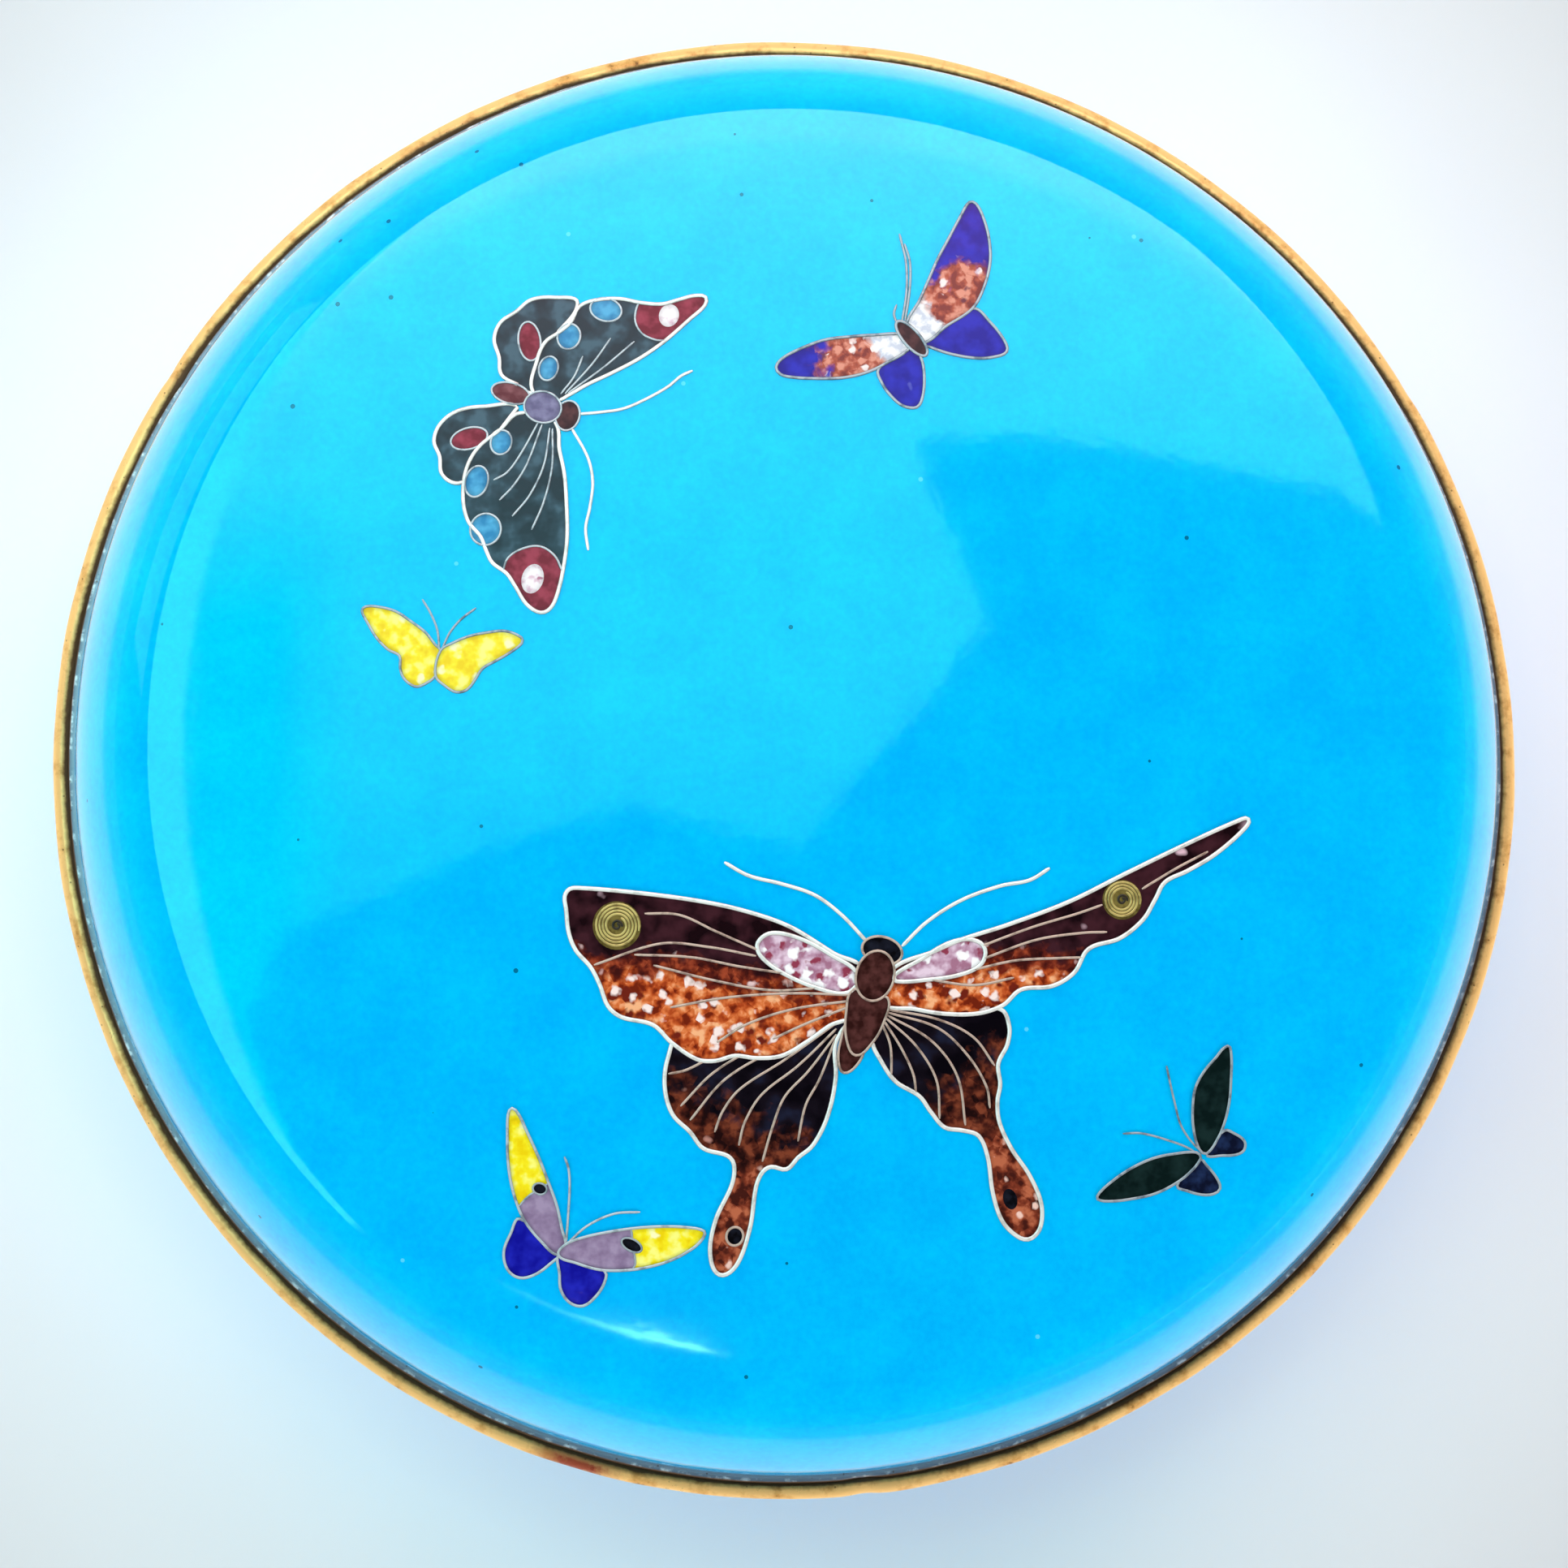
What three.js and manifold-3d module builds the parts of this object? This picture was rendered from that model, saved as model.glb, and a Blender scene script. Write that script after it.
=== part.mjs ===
// A round cloisonné enamel box: a bowl on a low foot ring and a lift-off lid, each with a gilt band
// round its mouth, and six butterflies of wired enamel cells lying flush in the lid's turquoise ground.
// Millimetres, +Z up, standing on z = 0 with the box's axis on Z.
import * as THREE from 'three';
import { mergeVertices } from 'three/addons/utils/BufferGeometryUtils.js';
import Module from 'manifold-3d';

const wasm = await Module();
wasm.setup();

// Driving dimensions
const facets = 44; // flats round every turned piece
const insideFineness = 0.6; // share of an arc's steps that it keeps on the inside of a shell
const totalHeight = 45.5;
const seamHeight = 24; // the plane where the lid's band rests on the bowl's band
const wall = 1.8; // copper with enamel on both sides
const enamelRadius = 53.1; // where the enamel ends at the mouth, on lid and bowl alike
const mouthSlope = 88; // degrees from level, of the enamel where it ends

// Lid: three arcs, each running on smoothly from the one before
const lidCap = { radius: 260, reach: 45.5, steps: 4 };
const lidShoulder = { radius: 6.5, slope: 62, steps: 5 };
const lidSide = { steps: 3 };

// Bowl: a flat floor, a turn and a side
const bowlFloorHeight = 3; // underside, where the foot ring is soldered on
const bowlEdgeHeight = 21.1; // where the bowl's enamel ends
const bowlTurn = { radius: 11, slope: 50, steps: 4 };
const bowlSide = { steps: 3 };
const footRing = { inner: 35.5, outer: 38.5, foot: 37.9, splay: 0.7 };

// Mouths: the copper lip behind each band, and the bands themselves
const lipRadius = 52.3;
const lipGap = 0.3; // clear of the flange that the lid comes down on
const lidBand = { ledge: 53.6, ledgeDrop: 0.55, bead: 0.85, radius: 55, beadHeight: 25.1 };
const bowlBand = { ledge: 53.5, bead: 0.9, radius: 54.8, beadHeight: 22.9 };
const flange = { under: 23.2, inner: 50.1, outer: 51, top: 27, skirt: 21.8 };

// Inlaid butterflies
const inlayDepth = 0.7;
const inlayGap = 0.25; // hairline left round and under each inlay
const pointsPerSpan = 2; // how finely each outline is rounded between its corner points

// Colours and finishes
const turquoise = { color: 0x1fb4e4, roughness: 0.08, metalness: 0 };
const giltBrass = { color: 0xc8963c, roughness: 0.35, metalness: 1 };

// Each butterfly's place on the lid, the way it heads (degrees from +Y, anticlockwise), and the
// outlines of its wings and body in its own frame: head towards +y, left wings at -x.
const butterflies = {
  butterfly_swallowtail: {
    at: [5.6, -17], heading: -14, enamel: { color: 0x3b1f26, roughness: 0.1, metalness: 0.1 },
    outlines: [
      [[-1, 0.6], [-5.5, 1.7], [-10.1, 2.3], [-15.5, 2.1], [-20, 1.5], [-22.6, 0.8], [-22.1, -1.4],
        [-20.2, -3.9], [-18.6, -5.9], [-16.8, -7], [-14.4, -7.1], [-12.7, -8], [-10.6, -8.7],
        [-8, -7.9], [-5.4, -6.8], [-3.2, -4.7], [-1, -2.4]],
      [[1, 0.8], [4.2, 2.9], [8.2, 5.6], [12.1, 8.4], [15.5, 11.4], [19.2, 14.6], [23.2, 17.5],
        [21.4, 14.4], [18.3, 11.5], [17.7, 9.4], [16.2, 7.1], [14.3, 5.6], [13.4, 3.4], [10.6, 1.8],
        [9.2, 0.2], [6.2, -1.1], [1, -1.5]],
      [[-1, -2.6], [-7, -5], [-12.4, -7], [-13, -9.6], [-11.8, -12.4], [-9.6, -14.3], [-7, -15],
        [-6.4, -16.6], [-7.2, -19.6], [-6.9, -22], [-5.4, -23.3], [-4.3, -21.6], [-4.5, -18.8],
        [-4.4, -15.9], [-2.4, -14], [-1, -11], [-0.9, -7.6], [-1.4, -5]],
      [[1, -1.2], [6.2, -0.8], [9.6, -0.6], [10.2, -2.6], [10.1, -4.4], [10.7, -6.7], [12.8, -10],
        [14.8, -12.2], [15.7, -14.6], [14.6, -15.6], [12.6, -14], [11, -11.4], [9.7, -9], [7.4, -9],
        [4.9, -7.6], [2.4, -6.4], [0.8, -4]],
      [[0, 3], [1.3, 2.2], [1.3, 0], [1.2, -3.4], [0.5, -6.4], [-0.5, -7.2], [-1.2, -6], [-1.4, -3.4],
        [-1.4, 0], [-1.3, 2.2]],
    ],
  },
  butterfly_slate: {
    at: [-18.2, 23.9], heading: -105, enamel: { color: 0x24424a, roughness: 0.1, metalness: 0.1 },
    outlines: [
      [[-0.8, 1], [-2.3, 3], [-3.9, 5], [-6, 6.7], [-8.3, 8.2], [-10.6, 9.2], [-10.3, 7.4],
        [-9.3, 5], [-8.9, 2.2], [-7.9, 0.6], [-6.2, 0.2], [-4.9, -1], [-3, -1.3], [-0.8, -0.8]],
      [[0.8, 1.3], [3, 2.2], [6.1, 3.5], [9.7, 4.4], [12.4, 4.7], [14.3, 4.1], [14, 2.6], [12.5, 0.8],
        [11.2, -1.1], [9.7, -2.8], [7.6, -3.7], [5.2, -4], [3, -3], [0.8, -1.3]],
      [[-0.8, -0.4], [-4.6, -0.4], [-8.1, 0.6], [-8.2, -1.6], [-7.3, -3.2], [-5.2, -4.6], [-3, -4.4],
        [-1.5, -3.4], [-0.6, -1.8]],
      [[0.4, -0.9], [3, -2.4], [6.9, -3.8], [6.6, -5.4], [4.8, -6.5], [3.4, -6.9], [1.9, -6], [0.9, -3.9]],
      [[0, 2.9], [0.9, 2.2], [1.1, 0.4], [0.8, -1.6], [0.3, -3.9], [-1, -3.9], [-1.3, -1.6], [-1.2, 0.4],
        [-1, 2.2]],
    ],
  },
  butterfly_blue: {
    at: [8.4, 29], heading: 40, enamel: { color: 0x2a35b8, roughness: 0.1, metalness: 0.1 },
    outlines: [
      [[-0.3, 1], [-3.8, 3.4], [-6.6, 4.5], [-9, 4.3], [-8, 2.7], [-6.2, 1], [-3.7, -0.1], [-0.3, -0.3]],
      [[0.3, 0.9], [4.4, 2.5], [7.4, 4], [10.1, 5.1], [9.7, 2.9], [7.8, 0.4], [5, -0.9], [0.3, -0.6]],
      [[-0.3, -0.2], [-3.4, -0.2], [-3.8, -2], [-2.8, -4], [-1.4, -3.2], [-0.2, -1.1]],
      [[0.3, -0.4], [4.6, -0.9], [5.1, -2.8], [4.6, -4.9], [2.8, -3.9], [0.4, -0.9]],
      [[0, 1.7], [0.6, 0.7], [0.6, -0.4], [0, -1.5], [-0.6, -0.4], [-0.6, 0.7]],
    ],
  },
  butterfly_yellow: {
    at: [-25.5, 5.8], heading: -11, enamel: { color: 0xf4dc2a, roughness: 0.1, metalness: 0.1 },
    outlines: [
      [[0, 1], [-1.6, 1.9], [-4, 2.7], [-6.1, 2.7], [-5, 0.9], [-2.9, -0.4], [-2.3, -2], [-1.2, -2.4],
        [0, -1.4]],
      [[0, 0.8], [1.3, 1.8], [3.4, 2.6], [5.5, 2.4], [4.5, 0.8], [3.1, -0.3], [2.4, -1.9], [1.3, -2.1],
        [0, -1.5]],
    ],
  },
  butterfly_lilac: {
    at: [-16.8, -36.6], heading: -32.5, enamel: { color: 0x9f8bb4, roughness: 0.1, metalness: 0.1 },
    outlines: [
      [[0, 0.4], [-1.6, 2.5], [-4.3, 4.7], [-8.1, 6.8], [-7.2, 4.2], [-4.5, 1.3], [-1.6, 0], [0, -0.2]],
      [[0, 0.4], [1.4, 2.5], [4.2, 4.8], [7.4, 6.4], [6.9, 3.9], [4.6, 1.4], [1.6, 0.1], [0, -0.2]],
      [[0, 0], [-1.9, 0.2], [-3.6, 0.6], [-3.3, -1.6], [-1.9, -3], [-0.6, -1.9]],
      [[0, 0], [1.8, 0.2], [3.6, 0.6], [3.7, -1.4], [2.6, -2.6], [1.1, -1.7]],
    ],
  },
  butterfly_green: {
    at: [29, -29.5], heading: 49, enamel: { color: 0x16262a, roughness: 0.1, metalness: 0.1 },
    outlines: [
      [[0, 0.5], [-2.2, 2.2], [-4.8, 3.4], [-7.1, 3.6], [-5.5, 1.4], [-3.1, 0], [0, -0.4]],
      [[0, 0.5], [2.1, 2.5], [4.6, 3.6], [7.1, 3.6], [5.4, 1.6], [3.1, 0.3], [0, -0.4]],
      [[0, 0], [-2.5, -0.1], [-2.2, -1.7], [-1, -2.6], [-0.3, -1.3]],
      [[0, 0], [2.4, -0.1], [2.7, -1.4], [1.9, -2.2], [0.7, -1.2]],
    ],
  },
};

const radians = THREE.MathUtils.degToRad;

// Adds an arc to a profile. It starts at the last point at one slope and turns to the other, running
// outwards and, with down = 1, downwards. Slopes are degrees from level.
function turnTo(profile, radius, fromSlope, toSlope, steps, down) {
  const start = profile.at(-1).clone();
  for (let step = 1; step <= steps; step += 1) {
    const slope = radians(THREE.MathUtils.lerp(fromSlope, toSlope, step / steps));
    profile.push(new THREE.Vector2(
      start.x + radius * (Math.sin(slope) - Math.sin(radians(fromSlope))),
      start.y - down * radius * (Math.cos(radians(fromSlope)) - Math.cos(slope)),
    ));
  }
}

// How many steps each arc is made in, at a share of its full fineness.
function stepsOf(arcs, fineness) {
  return arcs.map((arc) => Math.ceil(arc.steps * fineness));
}

// Half a round bead for a band's section, from its underside round the outside to its top.
function beadSection({ bead, radius, beadHeight }, fromAngle, toAngle, steps) {
  return Array.from({ length: steps + 1 }, (unused, step) => {
    const angle = radians(THREE.MathUtils.lerp(fromAngle, toAngle, step / steps));
    return new THREE.Vector2(
      radius - bead + bead * Math.cos(angle),
      beadHeight + bead * Math.sin(angle),
    );
  });
}

function pairs(...values) {
  return values.map(([radius, height]) => new THREE.Vector2(radius, height));
}

// Turns a profile about the box's axis.
function turned(profile) {
  return new THREE.LatheGeometry(profile, facets).rotateX(Math.PI / 2);
}

// The lid's surface a given depth below its outside: all three arcs stay parallel to it.
const capSlope = THREE.MathUtils.radToDeg(Math.asin(lidCap.reach / lidCap.radius));
const lidSideRadius = (enamelRadius - lidCap.reach
  - lidShoulder.radius * (Math.sin(radians(lidShoulder.slope)) - Math.sin(radians(capSlope))))
  / (Math.sin(radians(mouthSlope)) - Math.sin(radians(lidShoulder.slope)));

function lidSurface(depth, fineness = 1) {
  const [capSteps, shoulderSteps, sideSteps] = stepsOf([lidCap, lidShoulder, lidSide], fineness);
  const profile = [new THREE.Vector2(0, totalHeight - depth)];
  turnTo(profile, lidCap.radius - depth, 0, capSlope, capSteps, 1);
  turnTo(profile, lidShoulder.radius - depth, capSlope, lidShoulder.slope, shoulderSteps, 1);
  turnTo(profile, lidSideRadius - depth, lidShoulder.slope, mouthSlope, sideSteps, 1);
  return profile;
}

// The bowl's surface a given depth inside its underside and outside.
const bowlSideRadius = (bowlEdgeHeight - bowlFloorHeight
  - bowlTurn.radius * (1 - Math.cos(radians(bowlTurn.slope))))
  / (Math.cos(radians(bowlTurn.slope)) - Math.cos(radians(mouthSlope)));
const bowlFloorRadius = enamelRadius - bowlTurn.radius * Math.sin(radians(bowlTurn.slope))
  - bowlSideRadius * (Math.sin(radians(mouthSlope)) - Math.sin(radians(bowlTurn.slope)));

function bowlSurface(depth, fineness = 1) {
  const [turnSteps, sideSteps] = stepsOf([bowlTurn, bowlSide], fineness);
  const profile = pairs([0, bowlFloorHeight + depth], [bowlFloorRadius, bowlFloorHeight + depth]);
  turnTo(profile, bowlTurn.radius - depth, 0, bowlTurn.slope, turnSteps, -1);
  turnTo(profile, bowlSideRadius - depth, bowlTurn.slope, mouthSlope, sideSteps, -1);
  return profile;
}

// Shells: the outside, the copper lip that the band goes round, and the inside. The profiles run
// anticlockwise in section, so that the faces point out.
function lidShell() {
  const outside = lidSurface(0);
  const inside = lidSurface(wall, insideFineness);
  const lipEnd = seamHeight + lipGap;
  return turned([
    ...inside,
    ...pairs([inside.at(-1).x, lipEnd], [lipRadius, lipEnd], [lipRadius, outside.at(-1).y]),
    ...outside.reverse(),
  ]);
}

function bowlShell() {
  const outside = bowlSurface(0);
  const inside = bowlSurface(wall, insideFineness);
  const lipEnd = flange.under;
  return turned([
    ...outside,
    ...pairs([lipRadius, outside.at(-1).y], [lipRadius, lipEnd], [inside.at(-1).x, lipEnd]),
    ...inside.reverse(),
  ]);
}

// Bands: a ledge beside the enamel, a groove, and a rounded bead that stands furthest out.
function lidBandRing() {
  const top = lidSurface(0).at(-1).y;
  const bead = beadSection(lidBand, -75, 115, 4);
  return turned([
    ...pairs([lipRadius, seamHeight], [bead[0].x, seamHeight]),
    ...bead,
    ...pairs([lidBand.ledge, top - lidBand.ledgeDrop], [lidBand.ledge, top], [lipRadius, top],
      [lipRadius, seamHeight]),
  ]);
}

function bowlBandRing() {
  const bead = beadSection(bowlBand, -100, 75, 4);
  return turned([
    ...pairs([flange.inner, flange.skirt], [flange.outer, flange.skirt], [flange.outer, flange.under],
      [lipRadius, flange.under], [lipRadius, bowlEdgeHeight], [bowlBand.ledge, bowlEdgeHeight]),
    ...bead,
    ...pairs([bead.at(-1).x, seamHeight], [flange.outer, seamHeight], [flange.outer, flange.top],
      [flange.inner, flange.top], [flange.inner, flange.skirt]),
  ]);
}

function footRingRing() {
  return turned(pairs(
    [footRing.inner, 0], [footRing.foot, 0], [footRing.outer, footRing.splay],
    [footRing.foot, bowlFloorHeight], [footRing.inner, bowlFloorHeight], [footRing.inner, 0],
  ));
}

// Solids for the cuts
function solid(geometry) {
  const bare = geometry.clone();
  bare.deleteAttribute('normal');
  bare.deleteAttribute('uv');
  const merged = mergeVertices(bare);
  const triVerts = [];
  for (let corner = 0; corner < merged.index.count; corner += 3) {
    const [a, b, c] = [0, 1, 2].map((side) => merged.index.getX(corner + side));
    if (a !== b && b !== c && c !== a) triVerts.push(a, b, c); // a lathe's pole has flat triangles
  }
  return new wasm.Manifold(new wasm.Mesh({
    numProp: 3,
    vertProperties: new Float32Array(merged.attributes.position.array),
    triVerts: new Uint32Array(triVerts),
  }));
}

function geometryOf(manifold) {
  const mesh = manifold.getMesh();
  const geometry = new THREE.BufferGeometry();
  geometry.setAttribute('position', new THREE.Float32BufferAttribute(mesh.vertProperties, 3));
  geometry.setIndex(new THREE.Uint32BufferAttribute(mesh.triVerts, 1));
  return geometry;
}

// Everything under the lid's surface at a depth, as a plug reaching down to the seam.
function underLid(depth) {
  const surface = lidSurface(depth);
  return solid(turned([
    ...pairs([0, seamHeight], [surface.at(-1).x, seamHeight]),
    ...surface.reverse(),
  ]));
}

// One outline rounded through its points, grown outwards by a margin, as an upright prism.
function outlinePrism(points, margin) {
  const curve = new THREE.CatmullRomCurve3(points.map(([x, y]) => new THREE.Vector3(x, y, 0)), true);
  const ring = curve.getPoints(points.length * pointsPerSpan).slice(0, -1);
  const outward = THREE.ShapeUtils.isClockWise(ring) ? -1 : 1;
  const grown = ring.map((point, index) => {
    const along = ring[(index + 1) % ring.length].clone().sub(ring.at(index - 1)).normalize();
    return new THREE.Vector2(
      point.x + outward * margin * along.y,
      point.y - outward * margin * along.x,
    );
  });
  return new THREE.ExtrudeGeometry(new THREE.Shape(grown), { depth: totalHeight, bevelEnabled: false });
}

// A butterfly's wings and body joined into one upright prism, in its place on the lid.
function butterflyPrism({ at, heading, outlines }, margin) {
  const prisms = outlines.map((points) => solid(
    outlinePrism(points, margin).rotateZ(radians(heading)).translate(at[0], at[1], 0),
  ));
  return prisms.reduce((whole, prism) => whole.add(prism));
}

const root = new THREE.Group();

function addPart(name, geometry, finish) {
  const mesh = new THREE.Mesh(geometry, new THREE.MeshStandardMaterial(finish));
  mesh.name = name;
  root.add(mesh);
}

// The inlays have the lid's own surface, and each lies in a pocket with a hairline all round it.
const domeSolid = underLid(0);
const inlayBed = underLid(inlayDepth);
const pocketBed = underLid(inlayDepth + inlayGap);
let lid = solid(lidShell());
for (const [name, butterfly] of Object.entries(butterflies)) {
  const inlay = butterflyPrism(butterfly, 0).intersect(domeSolid).subtract(inlayBed);
  addPart(name, geometryOf(inlay), butterfly.enamel);
  lid = lid.subtract(butterflyPrism(butterfly, inlayGap).subtract(pocketBed));
}

addPart('lid', geometryOf(lid), turquoise);
addPart('lid_rim', lidBandRing(), giltBrass);
addPart('base', bowlShell(), turquoise);
addPart('base_rim', bowlBandRing(), giltBrass);
addPart('foot_ring', footRingRing(), giltBrass);

export default root;
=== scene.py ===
import math

import bmesh
import bpy
from mathutils import Euler, Matrix, Vector, noise
from mathutils.geometry import interpolate_bezier


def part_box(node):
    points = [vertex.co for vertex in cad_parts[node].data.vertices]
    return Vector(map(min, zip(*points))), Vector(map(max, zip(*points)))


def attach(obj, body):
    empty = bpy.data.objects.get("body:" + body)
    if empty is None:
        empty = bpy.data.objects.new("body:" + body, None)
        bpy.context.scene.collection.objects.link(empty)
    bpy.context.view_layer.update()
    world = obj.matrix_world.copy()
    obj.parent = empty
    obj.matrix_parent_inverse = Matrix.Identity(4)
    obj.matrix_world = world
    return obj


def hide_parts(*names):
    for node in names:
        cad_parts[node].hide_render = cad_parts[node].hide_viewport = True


millimetre = 0.001

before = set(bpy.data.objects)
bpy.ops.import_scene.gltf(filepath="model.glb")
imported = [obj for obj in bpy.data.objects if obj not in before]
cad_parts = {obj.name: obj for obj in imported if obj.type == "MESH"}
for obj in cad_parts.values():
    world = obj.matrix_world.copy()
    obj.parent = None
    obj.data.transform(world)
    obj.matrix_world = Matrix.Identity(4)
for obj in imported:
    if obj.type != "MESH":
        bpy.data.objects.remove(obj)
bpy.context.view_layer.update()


def highest(node):  # the far corner of a node, in millimetres
    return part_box(node)[1] / millimetre


def lowest(node):
    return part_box(node)[0] / millimetre


# Shader helpers


class Field:  # one socket's value, so that masks are written as plain sums
    def __init__(self, shader, socket):
        self.shader = shader
        self.socket = socket

    def maths(self, operation, *others):
        return self.shader.node("ShaderNodeMath", {"operation": operation}, dict(enumerate((self, *others))))

    def __add__(self, other):
        return self.maths("ADD", other)

    def __sub__(self, other):
        return self.maths("SUBTRACT", other)

    def __rsub__(self, other):
        return self.shader.node("ShaderNodeMath", {"operation": "SUBTRACT"}, {0: other, 1: self})

    def __mul__(self, other):
        return self.maths("MULTIPLY", other)

    def __truediv__(self, other):
        return self.maths("DIVIDE", other)

    def __gt__(self, other):
        return self.maths("GREATER_THAN", other)

    def __lt__(self, other):
        return self.maths("LESS_THAN", other)

    __radd__ = __add__
    __rmul__ = __mul__

    def clamped(self):
        return self.shader.node("ShaderNodeClamp", None, {0: self})


class Shader:
    def __init__(self, tree):
        self.tree = tree

    def node(self, kind, settings=None, inputs=None, output=0):
        made = self.tree.nodes.new(kind)
        for setting, value in (settings or {}).items():
            if setting == "stops":
                self.setStops(made.color_ramp, value)
            else:
                setattr(made, setting, value)
        for socket, value in (inputs or {}).items():
            if isinstance(value, Field):
                self.tree.links.new(value.socket, made.inputs[socket])
            else:
                made.inputs[socket].default_value = tone(value) if isinstance(value, str) else value
        return Field(self, made.outputs[output])

    def setStops(self, ramp, stops):
        while len(ramp.elements) < len(stops):
            ramp.elements.new(1.0)
        for element, (position, colour) in zip(ramp.elements, stops):
            element.position = position
            element.color = tone(colour)

    def place(self):  # object coordinates in millimetres
        spot = self.node("ShaderNodeTexCoord", output="Object")
        return self.node("ShaderNodeVectorMath", {"operation": "SCALE"}, {0: spot, "Scale": 1000.0})

    def radius(self):
        flat = self.node("ShaderNodeVectorMath", {"operation": "MULTIPLY"}, {0: self.place(), 1: (1, 1, 0)})
        return self.node("ShaderNodeVectorMath", {"operation": "LENGTH"}, {0: flat}, "Value")

    def along(self, axis):
        return self.node("ShaderNodeSeparateXYZ", None, {0: self.place()}, axis)

    def distance(self, point):  # from a point, in millimetres
        inputs = {0: self.place(), 1: point}
        return self.node("ShaderNodeVectorMath", {"operation": "DISTANCE"}, inputs, "Value")

    def written(self, name):  # a number carried by the piece's own points
        return self.node("ShaderNodeAttribute", {"attribute_name": name}, None, "Fac")

    def cloud(self, size, detail, roughness=0.55):
        inputs = {"Vector": self.place(), "Scale": 1 / size, "Detail": detail, "Roughness": roughness}
        return self.node("ShaderNodeTexNoise", None, inputs)

    def chips(self, size, output, seed=0.0):
        shift = self.node("ShaderNodeVectorMath", {"operation": "ADD"}, {0: self.place(), 1: (seed, seed, 0)})
        return self.node("ShaderNodeTexVoronoi", None, {"Vector": shift, "Scale": 1 / size}, output)

    def chance(self, size, seed=0.0):  # one random number for each chip
        return self.node("ShaderNodeSeparateColor", None, {0: self.chips(size, "Color", seed)}, 0)

    def ramp(self, factor, stops):
        return self.node("ShaderNodeValToRGB", {"stops": stops}, {0: factor})

    def mix(self, factor, first, second, blend="MIX"):
        settings = {"data_type": "RGBA", "blend_type": blend}
        return self.node("ShaderNodeMix", settings, {0: factor, 6: first, 7: second}, 2)

    def bump(self, height, depth):  # depth in millimetres
        return self.node("ShaderNodeBump", None, {"Distance": depth * millimetre, "Height": height})


fedSockets = {"colour": "Base Color", "roughness": "Roughness", "normal": "Normal", "glow": "Emission Color"}


class Finish(Shader):  # one material, with its even values set on the shader's own sockets
    def __init__(self, name, even):
        self.material = bpy.data.materials.new(name)
        self.material.use_nodes = True
        super().__init__(self.material.node_tree)
        self.surface = self.tree.nodes["Principled BSDF"].inputs
        for socket, value in even.items():
            self.surface[socket].default_value = value

    def feed(self, **fields):
        for word, field in fields.items():
            self.tree.links.new(field.socket, self.surface[fedSockets[word]])


def tone(code):  # a colour from its code, two hexadecimal digits each for red, green and blue
    shares = [int(code[place:place + 2], 16) / 255 for place in (0, 2, 4)]
    linear = [share / 12.92 if share <= 0.04045 else ((share + 0.055) / 1.055) ** 2.4 for share in shares]
    return (*linear, 1.0)


# Mesh helpers


def turnTo(profile, radius, fromSlope, toSlope, steps, down):  # adds an arc, running outwards
    startX, startZ = profile[-1]
    first = math.radians(fromSlope)
    for step in range(1, steps + 1):
        slope = first + (math.radians(toSlope) - first) * step / steps
        across = radius * (math.sin(slope) - math.sin(first))
        drop = radius * (math.cos(first) - math.cos(slope))
        profile.append((startX + across, startZ - down * drop))


roundSteps = 256


def lathe(mesh, profile, finish=0, steps=roundSteps):  # turns a profile about the axis
    ring = [mesh.verts.new((radius, 0, height)) for radius, height in profile]
    edges = [mesh.edges.new(pair) for pair in zip(ring, ring[1:])]
    known = set(mesh.faces)
    bmesh.ops.spin(mesh, geom=ring + edges, cent=(0, 0, 0), axis=(0, 0, 1), angle=math.tau,
                   steps=steps, use_merge=True)
    for face in mesh.faces:
        if face not in known:
            face.material_index = finish


weld = 0.0005  # points nearer than this are one


def closeUp(mesh):
    bmesh.ops.remove_doubles(mesh, verts=mesh.verts, dist=weld)
    bmesh.ops.dissolve_degenerate(mesh, edges=mesh.edges, dist=weld)
    bmesh.ops.recalc_face_normals(mesh, faces=mesh.faces)


def shadeSmooth(mesh, sharpest):
    for face in mesh.faces:
        face.smooth = True
    for edge in mesh.edges:
        edge.smooth = not (edge.is_manifold and edge.calc_face_angle(0) > math.radians(sharpest))


def addObject(name, data):
    made = bpy.data.objects.new(name, data)
    bpy.context.scene.collection.objects.link(made)
    return made


def addMesh(name, mesh, finishes):  # in metres, at the origin
    bmesh.ops.scale(mesh, vec=(millimetre,) * 3, verts=mesh.verts)
    data = bpy.data.meshes.new(name)
    mesh.to_mesh(data)
    mesh.free()
    for finish in finishes:
        data.materials.append(finish)
    return addObject(name, data)


def finishPiece(mesh, name, finishes, slot, nodes, sharpest=35):
    shadeSmooth(mesh, sharpest)
    piece = addMesh(name, mesh, finishes)
    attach(piece, "root")
    if nodes:
        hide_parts(*nodes)
    print("made", name, len(piece.data.polygons), "faces")


lineStep = 0.25


def smoothLine(points, closed=False):  # a curve through the points
    count = len(points)
    spots = [Vector((x, y, 0)) for x, y in points]
    chain = []
    for index in range(count if closed else count - 1):
        start = spots[index]
        end = spots[(index + 1) % count]
        before = spots[index - 1] if closed or index else start
        after = spots[(index + 2) % count] if closed or index + 2 < count else end
        reach = (end - start).length / 3
        leaving = start + (end - before).normalized() * reach
        arriving = end - (after - start).normalized() * reach
        steps = max(2, round((end - start).length / lineStep))
        chain += interpolate_bezier(start, leaving, arriving, end, steps + 1)[:-1]
    return chain if closed else chain + [spots[-1]]


def ovalLine(x, y, halfWidth, halfHeight, turn=0, steps=32):
    lean = Matrix.Rotation(math.radians(turn), 3, "Z")
    angles = [math.tau * step / steps for step in range(steps)]
    middle = Vector((x, y, 0))
    return [middle + lean @ Vector((halfWidth * math.cos(a), halfHeight * math.sin(a), 0)) for a in angles]


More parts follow.
